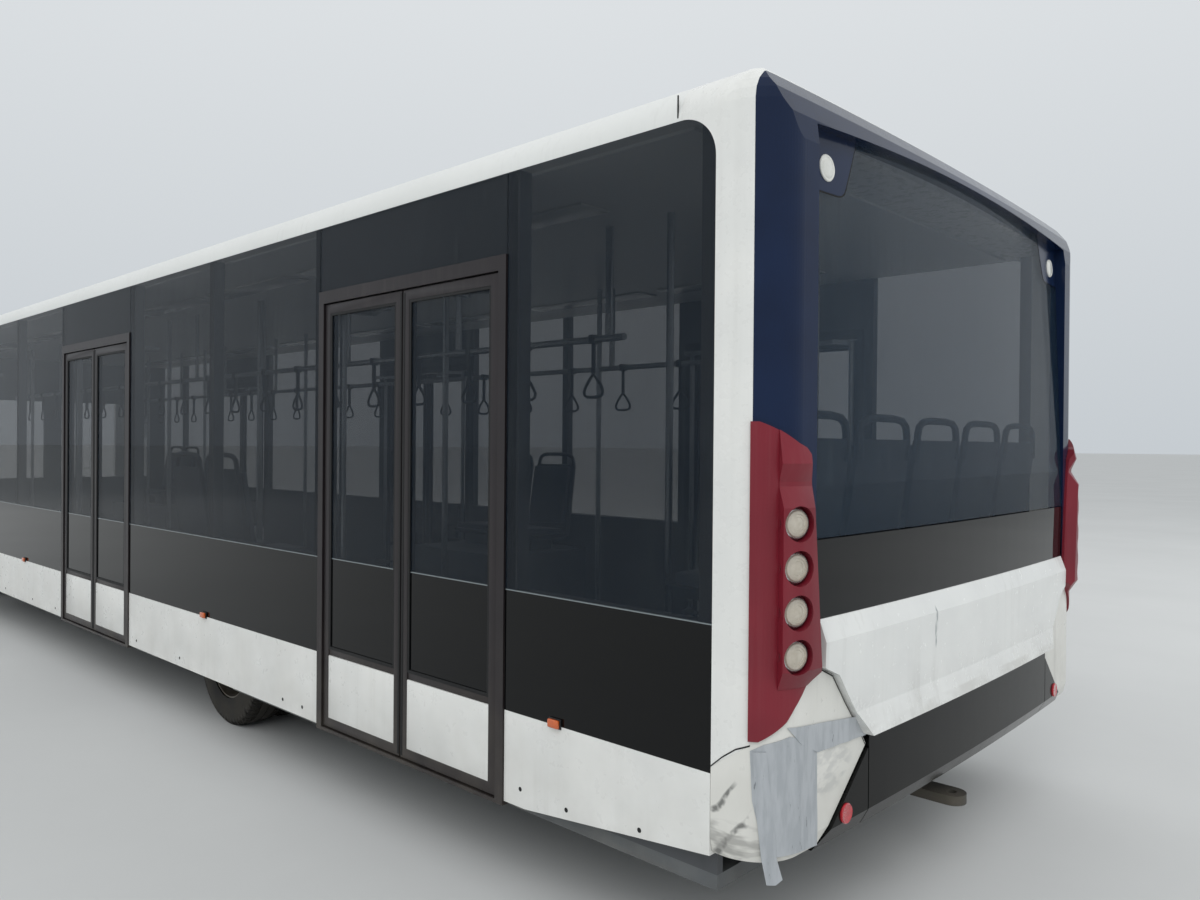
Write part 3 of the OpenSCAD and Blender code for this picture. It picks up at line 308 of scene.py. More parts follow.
def tintedGlass(name, look):
    # Toughened glass with grey-blue tint: see-through above darkTop, black enamel fired on below
    # it, a pale line between them where asked for, and a faint film of dirt that runs down
    material, tree, coords = newMaterial(name)
    height = addNode(tree, "SeparateXYZ", {0: coords}).outputs["Z"]
    dark = addNode(tree, "Math", {"operation": "LESS_THAN", 0: height, 1: look["darkTop"]})
    film = noiseMask(tree, coords, 30, 0.5, 0.75, (1, 1, 22), 3)
    patches = noiseMask(tree, coords, 900, 0.42, 0.6, detail=2)
    soil = addNode(tree, "Math", {"operation": "MULTIPLY", 0: film, 1: patches})
    glass = layered(tree, look["glass"], "#8A918B", 0.1, soil)[0]
    colour = addNode(tree, "Mix", {"data_type": "RGBA", 0: dark, 6: glass,
                                   7: look["enamel"]}).outputs[2]
    if look["lineHalf"]:
        near = addNode(tree, "Math", {"operation": "COMPARE", 0: height, 1: look["darkTop"],
                                      2: look["lineHalf"]})
        colour = addNode(tree, "Mix", {"data_type": "RGBA", 0: near, 6: colour,
                                       7: "#7C8486"}).outputs[2]
        dark = addNode(tree, "Math", {"operation": "MAXIMUM", 0: dark, 1: near})
    clear = addNode(tree, "MapRange", {"To Min": look["alpha"], "To Max": look["alpha"] + 0.05,
                                       "Value": soil})
    alpha = addNode(tree, "Math", {"operation": "MAXIMUM", 0: clear, 1: dark})
    rough = addNode(tree, "MapRange", {"To Min": 0.02, "To Max": 0.09, "Value": soil})
    shader = addNode(tree, "BsdfPrincipled", {"IOR": 1.52, "Specular IOR Level": look["specular"],
                                              "Base Color": colour, "Roughness": rough,
                                              "Alpha": alpha})
    addNode(tree, "OutputMaterial", {0: shader})
    return material


def wovenMoquette():
    # Seat moquette: short blue-grey pile, woven in small checks
    material, tree, coords = newMaterial("wovenMoquetteBlue")
    # Checks of 11 mm
    checks = addNode(tree, "TexChecker", {"Scale": 90, "Color1": "#FFFFFF", "Color2": "#000000",
                                          "Vector": coords}).outputs["Fac"]
    pile = noiseMask(tree, coords, 2.2, 0.3, 0.7, detail=2)
    colour = layered(tree, "#2B3038", "#3C4656", 0.35, checks)[0]
    colour = layered(tree, colour, "#586273", 0.3, pile)[0]
    bump = addNode(tree, "Bump", {"Strength": 0.6, "Distance": 0.0008, "Height": pile})
    shader = addNode(tree, "BsdfPrincipled", {"Roughness": 0.85, "Sheen Weight": 0.3,
                                              "Base Color": colour, "Normal": bump})
    addNode(tree, "OutputMaterial", {0: shader})
    return material


clothTape = silverClothTape()
# Side glass: the darkest, with a pale grey line along the top of its enamel
sideTint = tintedGlass("toughenedGlassSide", {
    "darkTop": 1.226, "glass": "#1A242E", "enamel": "#050607", "alpha": 0.46, "specular": 0.24,
    "lineHalf": 0.0022})
# Rear glass: a bluer tint
rearTint = tintedGlass("toughenedGlassRear", {
    "darkTop": 1.4935, "glass": "#243545", "enamel": "#06080A", "alpha": 0.42, "specular": 0.2,
    "lineHalf": 0})
# Laminated windscreen and the clear panes in the cab: a light tint, easy to see through
frontTint = tintedGlass("laminatedGlassFront", {
    "darkTop": 1.24, "glass": "#18262E", "enamel": "#06080A", "alpha": 0.2, "specular": 0.5,
    "lineHalf": 0})
cabPane = tintedGlass("clearGlassCab", {
    "darkTop": 0.0, "glass": "#1A2624", "enamel": "#06080A", "alpha": 0.15, "specular": 0.5,
    "lineHalf": 0})
moquette = wovenMoquette()
print("materials made:", len(bpy.data.materials))


# Tools for shapes

def unique(items):
    # Each item once and in order, so that every run gives the same mesh
    return list(dict.fromkeys(items))


def bevelled(bm, edges, width, segments=2):
    bmesh.ops.bevel(bm, geom=edges, offset=width, affect="EDGES", segments=segments, profile=0.5,
                    material=-1, clamp_overlap=True)


def drawnOut(bm, faces, step):
    # Extrudes the faces by step and gives the new vertices
    made = bmesh.ops.extrude_face_region(bm, geom=faces)["geom"]
    moved = [g for g in made if isinstance(g, bmesh.types.BMVert)]
    bmesh.ops.translate(bm, verts=moved, vec=step)
    return moved


def addBlock(bm, low, high, edge=0.0, material=0, segments=2):
    low, high = Vector(low), Vector(high)
    box = Matrix.Translation((low + high) / 2) @ Matrix.Diagonal((*(high - low), 1))
    made = bmesh.ops.create_cube(bm, size=1, matrix=box)["verts"]
    for face in unique(f for v in made for f in v.link_faces):
        face.material_index = material
    if edge:
        bevelled(bm, unique(e for v in made for e in v.link_edges), edge, segments)


def addRing(bm, outer, inner, low, high, edge=0.0, material=0):
    # A flat frame in the XZ plane between two rectangles, from y = low to y = high
    verts, edges = [], []
    for left, bottom, right, top in (outer, inner):
        ring = [bm.verts.new((x, low, z))
                for x, z in ((left, bottom), (right, bottom), (right, top), (left, top))]
        edges += [bm.edges.new((ring[i], ring[(i + 1) % 4])) for i in range(4)]
        verts += ring
    faces = bmesh.ops.bridge_loops(bm, edges=edges)["faces"]
    verts += drawnOut(bm, faces, (0, high - low, 0))
    shape = unique(f for v in verts for f in v.link_faces)
    for face in shape:
        face.material_index = material
    bmesh.ops.recalc_face_normals(bm, faces=shape)
    if edge:
        bevelled(bm, [e for e in unique(e for f in shape for e in f.edges)
                      if len(e.link_faces) == 2 and e.calc_face_angle(0) > 1.0], edge)


def revolved(points, steps, material=0):
    # A shape turned about Z from (radius, height) points
    bm = bmesh.new()
    verts = [bm.verts.new((r, 0, h)) for r, h in points]
    edges = [bm.edges.new(pair) for pair in zip(verts, verts[1:])]
    bmesh.ops.spin(bm, geom=verts + edges, cent=(0, 0, 0), axis=(0, 0, 1), dvec=(0, 0, 0),
                   angle=math.tau, steps=steps, use_merge=True, use_duplicate=False)
    bmesh.ops.remove_doubles(bm, verts=bm.verts, dist=1e-6)
    bmesh.ops.recalc_face_normals(bm, faces=bm.faces)
    for face in bm.faces:
        face.material_index = material
    return bm


def addPipe(bm, points, radius, segments, closed=False, material=0):
    points = [Vector(p) for p in points]
    count = len(points)
    rings = []
    for i, point in enumerate(points):
        after = points[(i + 1) % count] if closed or i + 1 < count else point
        before = points[i - 1] if closed or i else point
        made = bmesh.ops.create_circle(bm, cap_ends=False, radius=radius, segments=segments,
                                       matrix=aimed(point, after - before))["verts"]
        rings.append(unique(e for v in made for e in v.link_edges))
    pairs = list(zip(rings, rings[1:])) + ([(rings[-1], rings[0])] if closed else [])
    faces = []
    for first, second in pairs:
        faces += bmesh.ops.bridge_loops(bm, edges=first + second)["faces"]
    if not closed:
        for ring in (rings[0], rings[-1]):
            faces += bmesh.ops.edgeloop_fill(bm, edges=ring)["faces"]
    for face in faces:
        face.material_index = material
    bmesh.ops.recalc_face_normals(bm, faces=faces)


def aimed(point, direction):
    # Places a part whose Z axis points along direction
    turned = Vector(direction).to_track_quat("Z", "Y").to_matrix().to_4x4()
    return Matrix.Translation(point) @ turned


def place(bm, part, matrix, material=None):
    # Adds a copy of part to bm at matrix
    shape = bpy.data.meshes.new("shape")
    part.to_mesh(shape)
    shape.transform(matrix)
    if matrix.determinant() < 0:
        shape.flip_normals()
    start = len(bm.faces)
    bm.from_mesh(shape)
    bpy.data.meshes.remove(shape)
    if material is not None:
        bm.faces.ensure_lookup_table()
        for face in bm.faces[start:]:
            face.material_index = material


sides = (("left", 1), ("right", -1))
mirrorY = {1: Matrix.Identity(4), -1: Matrix.Diagonal((1, -1, 1, 1))}


def bothSides(part):
    # The part as modelled for the left side of the bus, with its mirror image on the right
    bm = bmesh.new()
    for mirror in mirrorY.values():
        place(bm, part, mirror)
    part.free()
    return bm


def finishPiece(bm, name, materials, body, replaced=(), angle=32):
    mesh = bpy.data.meshes.new(name)
    bm.to_mesh(mesh)
    bm.free()
    for material in materials:
        mesh.materials.append(material)
    mesh.polygons.foreach_set("use_smooth", [True] * len(mesh.polygons))
    mesh.set_sharp_from_angle(angle=math.radians(angle))
    piece = bpy.data.objects.new(name, mesh)
    bpy.context.scene.collection.objects.link(piece)
    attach(piece, body)
    if replaced:
        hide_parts(*replaced)
    return piece


# Rear outline in plan: a flat bow, round corners, straight sides
rear = {"tailX": cadBox[0].x + 0.044, "bulge": 0.025, "halfChord": 1.25, "corner": 0.18,
        "side": 1.5, "windowLow": 1.491, "windowHigh": 2.872, "inset": 0.004, "rake": 0.05}
rear["bow"] = (rear["halfChord"] ** 2 + rear["bulge"] ** 2) / (2 * rear["bulge"])
rear["cornerY"] = rear["side"] - rear["corner"]
rear["cornerX"] = rear["tailX"] + rear["bow"] - math.sqrt(
    (rear["bow"] - rear["corner"]) ** 2 - rear["cornerY"] ** 2)
rear["phi"] = math.atan2(rear["cornerY"], rear["tailX"] + rear["bow"] - rear["cornerX"])
rear["bowEnd"] = rear["bow"] * rear["phi"]
rear["cornerEnd"] = rear["bowEnd"] + rear["corner"] * (math.pi / 2 - rear["phi"])


def rearPoint(s, z, out):
    # s runs along the rear outline from its middle, plus to the left; out is how far it stands off
    side, a = (1 if s >= 0 else -1), abs(s)
    if a > rear["cornerEnd"]:
        return Vector((rear["cornerX"] + a - rear["cornerEnd"], side * (rear["side"] + out), z))
    if a < rear["bowEnd"]:
        x, y, r, turn = rear["tailX"] + rear["bow"], 0, rear["bow"], a / rear["bow"]
    else:
        x, y, r = rear["cornerX"], rear["cornerY"], rear["corner"]
        turn = rear["phi"] + (a - rear["bowEnd"]) / rear["corner"]
    return Vector((x - (r + out) * math.cos(turn), side * (y + (r + out) * math.sin(turn)), z))


def windowInset(z):
    # How far the raked rear glass lies in at height z
    share = (z - rear["windowLow"]) / (rear["windowHigh"] - rear["windowLow"])
    return rear["inset"] + rear["rake"] * max(0, share)


def flatPatch(points, thick, step, base, wrinkle=0.0, seed=0.0, onGlass=False):
    # A thin patch drawn as (s, z) points, cut up every step so that it bends round the rear end
    bm = bmesh.new()
    face = bm.faces.new([bm.verts.new((s, 0, z)) for s, z in points])
    drawnOut(bm, [face], (0, thick, 0))
    for axis, normal in enumerate(((1, 0, 0), (0, 0, 1))):
        values = [p[axis] for p in points]
        at = math.ceil(min(values) / step) * step
        while at < max(values):
            bmesh.ops.bisect_plane(bm, geom=bm.verts[:] + bm.edges[:] + bm.faces[:], dist=1e-5,
                                   plane_co=Vector(normal) * at, plane_no=normal)
            at += step
    for vert in bm.verts:
        s, out, z = vert.co
        lift = 0.0
        if wrinkle and out > thick / 2:
            lift = wrinkle * max(0, noise.noise(Vector((s * 22 + seed, z * 9, seed))) + 0.15)
        if onGlass:
            lift -= windowInset(z)
        vert.co = rearPoint(s, z, base + out + lift)
    bmesh.ops.recalc_face_normals(bm, faces=bm.faces)
    return bm


# Finishes of the CAD's single pieces, and of the kinds that there are several of
finishes = {
    "chassis": framePaint, "floor": vinylFloor, "axles": framePaint, "engine": castIron,
    "roof": roofEnamel, "side_frames": wallLining, "side_glass": sideTint, "skirts": whiteEnamel,
    "door_frames": doorAluminium, "rear_hoop": whiteEnamel, "rear_surround": navyGloss,
    "rear_glazing": rearTint, "rear_band": bandEnamel, "rear_bumper": blackGloss,
    "rear_corners": scuffedEnamel, "lamp_panels": burgundyPlastic, "lamps": ribbedLens,
    "front_hoop": whiteEnamel, "windscreen": frontTint, "front_mask": whiteEnamel,
    "front_bumper": whiteEnamel, "mirrors": grainedPlastic, "seats": seatPlastic,
    "grab_rails": brushedSteel, "cab_wall": wallLining, "dashboard": grainedPlastic}
manyFinishes = {"leaf": doorAluminium, "arm": brushedSteel, "knuckle": framePaint,
                "tyre": tyreRubber, "rim": rimPaint}
for name, node in nodes.items():
    node.data.materials.clear()
    node.data.materials.append(finishes.get(name) or manyFinishes[name.split("_")[0]])
print("CAD pieces finished")

# Door leaves: framed glass over a white lower panel, a rubber edge where two leaves meet
doors = {"width": 1.4, "frame": 0.045, "gap": 0.006, "middleGap": 0.009, "low": 0.404,
         "high": 2.464, "thick": 0.04, "stile": 0.046, "panelTop": 0.786, "armLow": 0.6,
         "armW": 0.026, "armGap": 0.008, "pinAlong": 0.405, "pinDeep": 0.11, "pinR": 0.009,
         "bracketT": 0.012, "bracketW": 0.05, "edge": 0.002}


def leafShape():
    d = doors
    left = d["frame"] + d["gap"]
    right = left + d["width"] / 2 - d["frame"] - d["gap"] - d["middleGap"] / 2
    low, high, top = d["low"], d["high"], d["panelTop"]
    inLeft, inRight = left + d["stile"], right - d["stile"]
    inLow, inHigh = low + d["stile"], high - d["stile"]
    bm = bmesh.new()
    addRing(bm, (left, low, right, high), (inLeft, inLow, inRight, inHigh), 0, -d["thick"],
            d["edge"], 0)
    for start, end, edge, material in (
            # cross rail, lower panel, glass
            ((inLeft, -0.036, top - 0.03), (inRight, -0.004, top), 0.002, 0),
            ((inLeft - 0.004, -0.032, inLow - 0.004), (inRight + 0.004, -0.0015, top - 0.032),
             0.004, 1),
            ((inLeft - 0.006, -0.018, top - 0.004), (inRight + 0.006, -0.008, inHigh + 0.006),
             0, 2)):
        addBlock(bm, start, end, edge, material)
    # Rubber round the glass, and the closing edge
    addRing(bm, (inLeft - 0.002, top - 0.002, inRight + 0.002, inHigh + 0.002),
            (inLeft + 0.012, top + 0.012, inRight - 0.012, inHigh - 0.012), -0.0015, -0.0078,
            0.001, 3)
    addBlock(bm, (right - 0.015, -0.0385, low + 0.01), (right - 0.0005, 0.0012, high - 0.01),
             0.0012, 3)
    # Brackets that the arms' pins turn in
    pin, half = d["pinAlong"], d["bracketW"] / 2
    for z in (d["armLow"], high - d["armW"] - d["armGap"]):
        base = z - d["bracketT"] - 0.0003
        addBlock(bm, (pin - half, -d["pinDeep"], base),
                 (pin + half, -d["thick"], base + d["bracketT"]), 0.001, 4)
        for radius, height in ((half, d["bracketT"]), (d["pinR"], d["bracketT"] + d["armW"])):
            disc = revolved([(0, 0), (radius, 0), (radius, height), (0, height)], 20)
            place(bm, disc, Matrix.Translation((pin, -d["pinDeep"], base)), 4)
            disc.free()
    return bm


leaf = leafShape()
leafMaterials = [doorAluminium, whiteEnamel, sideTint, softRubber, brushedSteel]
for side, sign in sides:
    for number in (1, 2, 3):
        low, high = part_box(f"leaf_{side}_{number}_rear")
        doorX = low.x - doors["frame"] - doors["gap"] + doors["width"] / 2
        for half, flip in (("rear", 1), ("front", -1)):
            leafName = f"{side}_{number}_{half}"
            at = (mirrorY[sign] @ Matrix.Translation((doorX, rear["side"], 0))
                  @ Matrix.Diagonal((flip, 1, 1, 1))
                  @ Matrix.Translation((-doors["width"] / 2, 0, 0)))
            bm = bmesh.new()
            place(bm, leaf, at)
            finishPiece(bm, "doorLeaf." + leafName, leafMaterials, "leaf_" + leafName,
                        ["leaf_" + leafName])
print("door leaves made")

# Lamps: four in each rear corner panel, one high on the glass, and a reflector on the bumper
lamps = {"turn": 20, "cupOut": 0.0143, "lowZ": 1.147, "step": 0.1355, "count": 4,
         "highY": 1.132, "highZ": 2.711, "reflectorY": 1.074, "reflectorZ": 0.576}
lens = revolved([(0.0435, 0.004), (0.043, 0.016), (0.039, 0.021), (0.031, 0.0235), (0.03, 0.0215),
                 (0.022, 0.0235), (0.021, 0.0218), (0.012, 0.024), (0, 0.0242)], 32)
bezel = revolved([(0.0425, 0.0), (0.048, 0.0), (0.048, 0.012), (0.0465, 0.0165), (0.044, 0.0175),
                  (0.0425, 0.015), (0.0425, 0.0)], 32)
part = bmesh.new()
turn = math.radians(lamps["turn"])
out = Vector((-math.cos(turn), math.sin(turn), 0))
for k in range(lamps["count"]):
    at = Vector((rear["cornerX"], rear["cornerY"], lamps["lowZ"] + k * lamps["step"]))
    matrix = aimed(at + out * (rear["corner"] + lamps["cupOut"]), out)
    place(part, lens, matrix, 0)
    place(part, bezel, matrix, 1)
finishPiece(bothSides(part), "rearLamps", [ribbedLens, silverReflector], "root",
            ["lamps"])

dome = revolved([(0.045, 0.0), (0.045, 0.003), (0.042, 0.0055), (0.036, 0.0045), (0.034, 0.0055),
                 (0.026, 0.0075), (0.012, 0.008), (0, 0.008), (0, 0), (0.045, 0)], 32)
foot = rearPoint(lamps["highY"], lamps["highZ"], 0.0014 - windowInset(lamps["highZ"]))
part = bmesh.new()
place(part, dome, aimed(foot, (-1, 0.03, 0.036)))
finishPiece(bothSides(part), "highLamps", [milkyDome], "root", ["lamps"])

disc = revolved([(0, 0), (0.034, 0), (0.034, 0.005), (0.031, 0.008), (0.028, 0.0072),
                 (0, 0.0072)], 28)
part = bmesh.new()
place(part, disc, aimed(rearPoint(lamps["reflectorY"], lamps["reflectorZ"], 0.0123),
                        (-1, 0.034, 0)))
finishPiece(bothSides(part), "rearReflectors", [redLens], "root", ["lamps"])

# Side markers: an orange block on a thin black foot, near the tail and ahead of each door
markers = {"size": (0.062, 0.02, 0.038), "z": 0.765, "rim": 0.003, "off": 0.0003,
           "foot": 0.0063, "hoopIn": 0.14, "along": (0.702, 1.298, 0.979, 0.3)}
wallEnds = [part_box("rear_hoop")[1].x - markers["hoopIn"]] + [
    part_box(f"leaf_left_{n}_front")[1].x + doors["frame"] + doors["gap"] for n in (3, 2, 1)]
part = bmesh.new()
w, d, h = markers["size"]
z, rim, wall = markers["z"], markers["rim"], rear["side"] + markers["off"]
for wallEnd, along in zip(wallEnds, markers["along"]):
    x = wallEnd + along
    addBlock(part, (x - w / 2, wall, z - h / 2),
             (x + w / 2, rear["side"] + markers["foot"], z + h / 2), 0.002, 1)
    addBlock(part, (x - w / 2 + rim, rear["side"] + markers["foot"] - 0.0008, z - h / 2 + rim),
             (x + w / 2 - rim, wall + d, z + h / 2 - rim), 0.006, 0, 3)
finishPiece(bothSides(part), "sideMarkers", [orangeLens, grainedPlastic], "root",
            ["lamps"])

# Headlamps: a bright bowl and a bulb behind a glass dome; round direction lamps above them
front = {"noseX": cadBox[1].x, "bulge": 0.17, "halfChord": 1.25, "headlampZ": 0.78,
         "headlampY": (0.93, 1.13), "headlampIn": 0.03}
front["bow"] = (front["halfChord"] ** 2 + front["bulge"] ** 2) / (2 * front["bulge"])


def nosePoint(y, z, out):
    # The point at y on the bowed front, standing off by out, and the way that the front faces there
    turn = math.asin(y / front["bow"])
    r = front["bow"] + out
    point = Vector((front["noseX"] - front["bow"] + r * math.cos(turn), r * math.sin(turn), z))
    return point, (math.cos(turn), math.sin(turn), 0)


glassDome = revolved([(0.072, 0.022), (0.068, 0.028), (0.045, 0.031), (0, 0.032)], 32)
bowl = revolved([(0.0, 0.003), (0.04, 0.008), (0.066, 0.02), (0.073, 0.026), (0.08, 0.026),
                 (0.08, 0.0), (0, 0)], 32)
bulb = revolved([(0, 0.003), (0.012, 0.004), (0.014, 0.014), (0.009, 0.02), (0, 0.021)], 16)
part = bmesh.new()
for y in front["headlampY"]:
    matrix = aimed(*nosePoint(y, front["headlampZ"], -front["headlampIn"]))
    for material, shape in enumerate((bowl, bulb, glassDome)):
        place(part, shape, matrix, material)
finishPiece(bothSides(part), "headlamps", [silverReflector, milkyDome, cabPane], "root",
            ["lamps"])

frontMarks = {"y": 1.03, "z": 0.93, "radius": 0.042, "proud": 0.006, "edge": 0.003}
radius, proud = frontMarks["radius"], frontMarks["proud"]
disc = revolved([(0, 0), (radius, 0), (radius, proud - 0.002),
                 (radius - frontMarks["edge"], proud), (0, proud + 0.002)], 28)
part = bmesh.new()
place(part, disc, aimed(*nosePoint(frontMarks["y"], frontMarks["z"], 0.0003)))
finishPiece(bothSides(part), "frontDirectionLamps", [orangeLens], "root")
print("lamps made")

# Rear glass corners: navy patches with a thin black edge, drawn as (s, z) points
cornerPatch = {"middle": (1.16, 2.74), "thick": 0.0006, "outline": [
    (1.247, 2.84), (0.925, 2.862), (0.948, 2.8), (0.975, 2.735), (1.006, 2.665), (1.018, 2.645),
    (1.036, 2.632), (1.06, 2.627), (1.247, 2.622)]}
middle = Vector(cornerPatch["middle"])
for name, inwards, base, finish in (("glassCornerEdges", 0, 0.0002, blackGloss),
                                    ("glassCornerPatches", 0.007, 0.0008, navyGloss)):
    points = [Vector(p) + (middle - Vector(p)).normalized() * inwards
              for p in cornerPatch["outline"]]
    part = flatPatch([tuple(p) for p in points], cornerPatch["thick"], 0.05, base, onGlass=True)
    finishPiece(bothSides(part), name, [finish], "root")

# Grey tape on the damaged left rear corner: (s, z) outlines, how far it lies out, its wrinkles
tapes = {"thick": 0.001, "strip": 0.018, "pieces": [
    ("tapeWide", [(1.508, .853), (1.466, .873), (1.379, .892), (1.237, .849), (1.2335, .66),
                  (1.231, .514), (1.30, .520), (1.374, .525), (1.459, .526), (1.50, .70)],
     0.0012, 0.004),
    ("tapeBranch", [(1.391, .921), (1.18, .9), (.974, .876), (.94, .83), (.928, .803),
                    (1.08, .809), (1.236, .814), (1.33, .86)], 0.0026, 0.006),
    ("tapeStrip", [(1.501, .851), (1.460, .852), (1.44, .69), (1.425, .525), (1.404, .455),
                   (1.425, .440), (1.455, .443), (1.472, .526), (1.492, .70)], 0.0036, 0.005)]}
for index, (name, points, out, wrinkle) in enumerate(tapes["pieces"]):
    part = flatPatch(points, tapes["thick"], tapes["strip"], out, wrinkle, index * 7.3)
    finishPiece(part, name, [clothTape], "root", angle=60)

# Dark seams: under the end hoop and beside the band, as (s, z) lines a few millimetres wide
seams = {"width": 0.005, "thick": 0.0008, "out": 0.0006, "lines": [
    [(1.508, 0.868), (1.552, 0.852), (1.597, 0.82), (1.641, 0.781)],
    [(0.926, 0.766), (0.98, 0.84), (1.067, 0.942), (1.145, 1.042), (1.228, 1.08)]]}
part = bmesh.new()
for line in seams["lines"]:
    low = [(a, b - seams["width"] / 2) for a, b in line]
    high = [(a, b + seams["width"] / 2) for a, b in line]
    place(part, flatPatch(low + high[::-1], seams["thick"], 0.03, seams["out"]), mirrorY[1])
finishPiece(bothSides(part), "rearSeams", [softRubber], "root")
print("rear patches made")

# Tyres: grooved tread with shoulder lugs; wheel nuts and hub caps on the rims
tyres = {"radius": 0.419, "bead": 0.248, "width": 0.245, "grooves": (-0.055, 0.0, 0.055),
         "grooveW": 0.011, "grooveD": 0.011, "lugs": 60, "lugD": 0.009, "lugIn": 0.04,
         "lugsFrom": 0.065}
# How far nuts and cap stand out from the middle of the outer tyre
wheels = {"twinStep": 0.28, "nuts": 10, "nutCircle": 0.135,
          "nutsOut": {"front": 0.067, "rear": -0.053}, "capOut": {"front": 0.072, "rear": 0.062}}


def tyreShape():
    t = tyres
    half, r, bead = t["width"] / 2, t["radius"], t["bead"]
    wall = [(bead, -half + 0.012), (bead + 0.02, -half + 0.004), (bead + 0.07, -half),
            (r - 0.075, -half + 0.001), (r - 0.05, -half + 0.006), (r - 0.022, -half + 0.014),
            (r - 0.004, -half + 0.03)]
    profile = wall[:]
    for g in t["grooves"]:
        w, d = t["grooveW"] / 2, t["grooveD"]
        profile += [(r - 0.0005, g - w), (r - d, g - w + 0.002), (r - d, g + w - 0.002),
                    (r - 0.0005, g + w)]
    profile += [(a, -b) for a, b in reversed(wall)]
    profile += [(bead + 0.012, half - 0.03), (bead + 0.012, -half + 0.03), profile[0]]
    bm = revolved(profile, t["lugs"] * 2)
    picked = []
    for face in bm.faces:
        c = face.calc_center_median()
        around = (math.atan2(c.y, c.x) % math.tau) / math.tau
        strip = int(math.floor(around * t["lugs"] * 2 + 0.001))
        if (math.hypot(c.x, c.y) > r - t["lugIn"] and abs(c.z) > t["lugsFrom"]
                and strip % 2 == 0):
            picked.append(face)
    # Every other shoulder strip is drawn inwards, which leaves the cross grooves
    for vert in drawnOut(bm, picked, (0, 0, 0)):
        flat = Vector((vert.co.x, vert.co.y, 0))
        vert.co -= flat.normalized() * t["lugD"]
    bmesh.ops.recalc_face_normals(bm, faces=bm.faces)
    return bm


turnWheel = Matrix.Rotation(math.radians(-90), 4, "X")
tyre = tyreShape()
nut = revolved([(0, 0.024), (0.009, 0.024), (0.0135, 0.02), (0.0135, 0.004), (0.018, 0.0035),
                (0.018, 0)], 6)
cap = revolved([(0, 0.044), (0.052, 0.043), (0.06, 0.038), (0.063, 0.0), (0.075, 0.0),
                (0.075, -0.004)], 36)
for side, sign in sides:
    for end, body in (("front", f"wheel_front_{side}"), ("rear", f"wheels_rear_{side}")):
        low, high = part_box(f"tyre_{end}_{side}")
        axle = (low + high) / 2
        outer = max(abs(low.y), abs(high.y)) - tyres["width"] / 2
        bm = bmesh.new()
        for y in (outer,) if end == "front" else (outer, outer - wheels["twinStep"]):
            at = Matrix.Translation((axle.x, sign * y, tyres["radius"]))
            place(bm, tyre, at @ turnWheel)
        finishPiece(bm, f"treadedTyre.{end}_{side}", [tyreRubber], body,
                    [f"tyre_{end}_{side}"], 28)
        bm = bmesh.new()
        for k in range(wheels["nuts"]):
            a = math.tau * (k + 0.5) / wheels["nuts"]
            at = Matrix.Translation((axle.x + wheels["nutCircle"] * math.cos(a),
                                     outer + wheels["nutsOut"][end],
                                     tyres["radius"] + wheels["nutCircle"] * math.sin(a)))
            place(bm, nut, mirrorY[sign] @ at @ turnWheel, 0)
        at = Matrix.Translation((axle.x, outer + wheels["capOut"][end], tyres["radius"]))
        place(bm, cap, mirrorY[sign] @ at @ turnWheel, 1)
        finishPiece(bm, f"wheelNuts.{end}_{side}", [zincPlate, rimPaint], body)
print("wheels made")

# Seats: moulded shell on a frame, separate cushion and back pad, grab handle over the back.
# A leg is the height of the shell over what the seat stands on; on the wheel boxes it is low
seats = {"width": 0.44, "pitch": 0.5, "leg": 0.3, "boxLeg": 0.03, "back": 0.64, "grip": 0.015,
         "platformX": cadBox[0].x + 0.47, "platformTop": 0.88, "boxY": 1.135, "boxTop": 0.96,
         "driver": (5.579, 0.85, 0.42), "cushion": (0.35, 0.4, 0.046), "cushionCrown": 0.012,
         "backPad": (0.46, 0.4, 0.034), "backCrown": 0.01,
         # how far forward and above the leg, tilt and turn in degrees
         "cushionAt": (0.04, 0.114, -2.6, 0), "backAt": (-0.183, 0.395, 81, 180)}
pads = {"edge": 0.3, "pullIn": 0.004, "seamAt": 0.62, "seamWidth": 0.05, "seamDeep": 0.004}


def seatFrame(leg):
    half, top = seats["width"] / 2, leg + seats["back"]
    bm = bmesh.new()
    shell = [(-0.145, leg + 0.045), (0.2, leg + 0.06), (0.226, leg + 0.085), (0.222, leg + 0.1),
             (-0.12, leg + 0.085), (-0.165, leg + 0.1), (-0.252, top), (-0.275, top),
             (-0.2, leg + 0.08)]
    face = bm.faces.new([bm.verts.new((x, -half, z)) for x, z in shell])
    drawnOut(bm, [face], (0, 2 * half, 0))
    bmesh.ops.recalc_face_normals(bm, faces=bm.faces)
    bevelled(bm, [e for e in bm.edges if e.calc_length() > 0.03], 0.006)
    if leg > 0.1:
        for y in (-0.13, 0.13):
            addBlock(bm, (-0.04, y - 0.02, 0.0), (0.12, y + 0.02, 0.012), 0.002, 1)
            addBlock(bm, (0.02, y - 0.015, 0.01), (0.06, y + 0.015, leg + 0.06), 0.004, 1)
    else:
        addBlock(bm, (-0.06, -0.16, 0), (0.16, 0.16, leg + 0.055), 0.004, 1)
    grip = [(-0.262, 0.2, top - 0.08), (-0.264, 0.199, top + 0.02), (-0.265, 0.185, top + 0.055),
            (-0.266, 0.15, top + 0.075), (-0.266, 0.08, top + 0.082)]
    addPipe(bm, grip + [(x, -y, z) for x, y, z in reversed(grip)], seats["grip"], 10)
    return bm


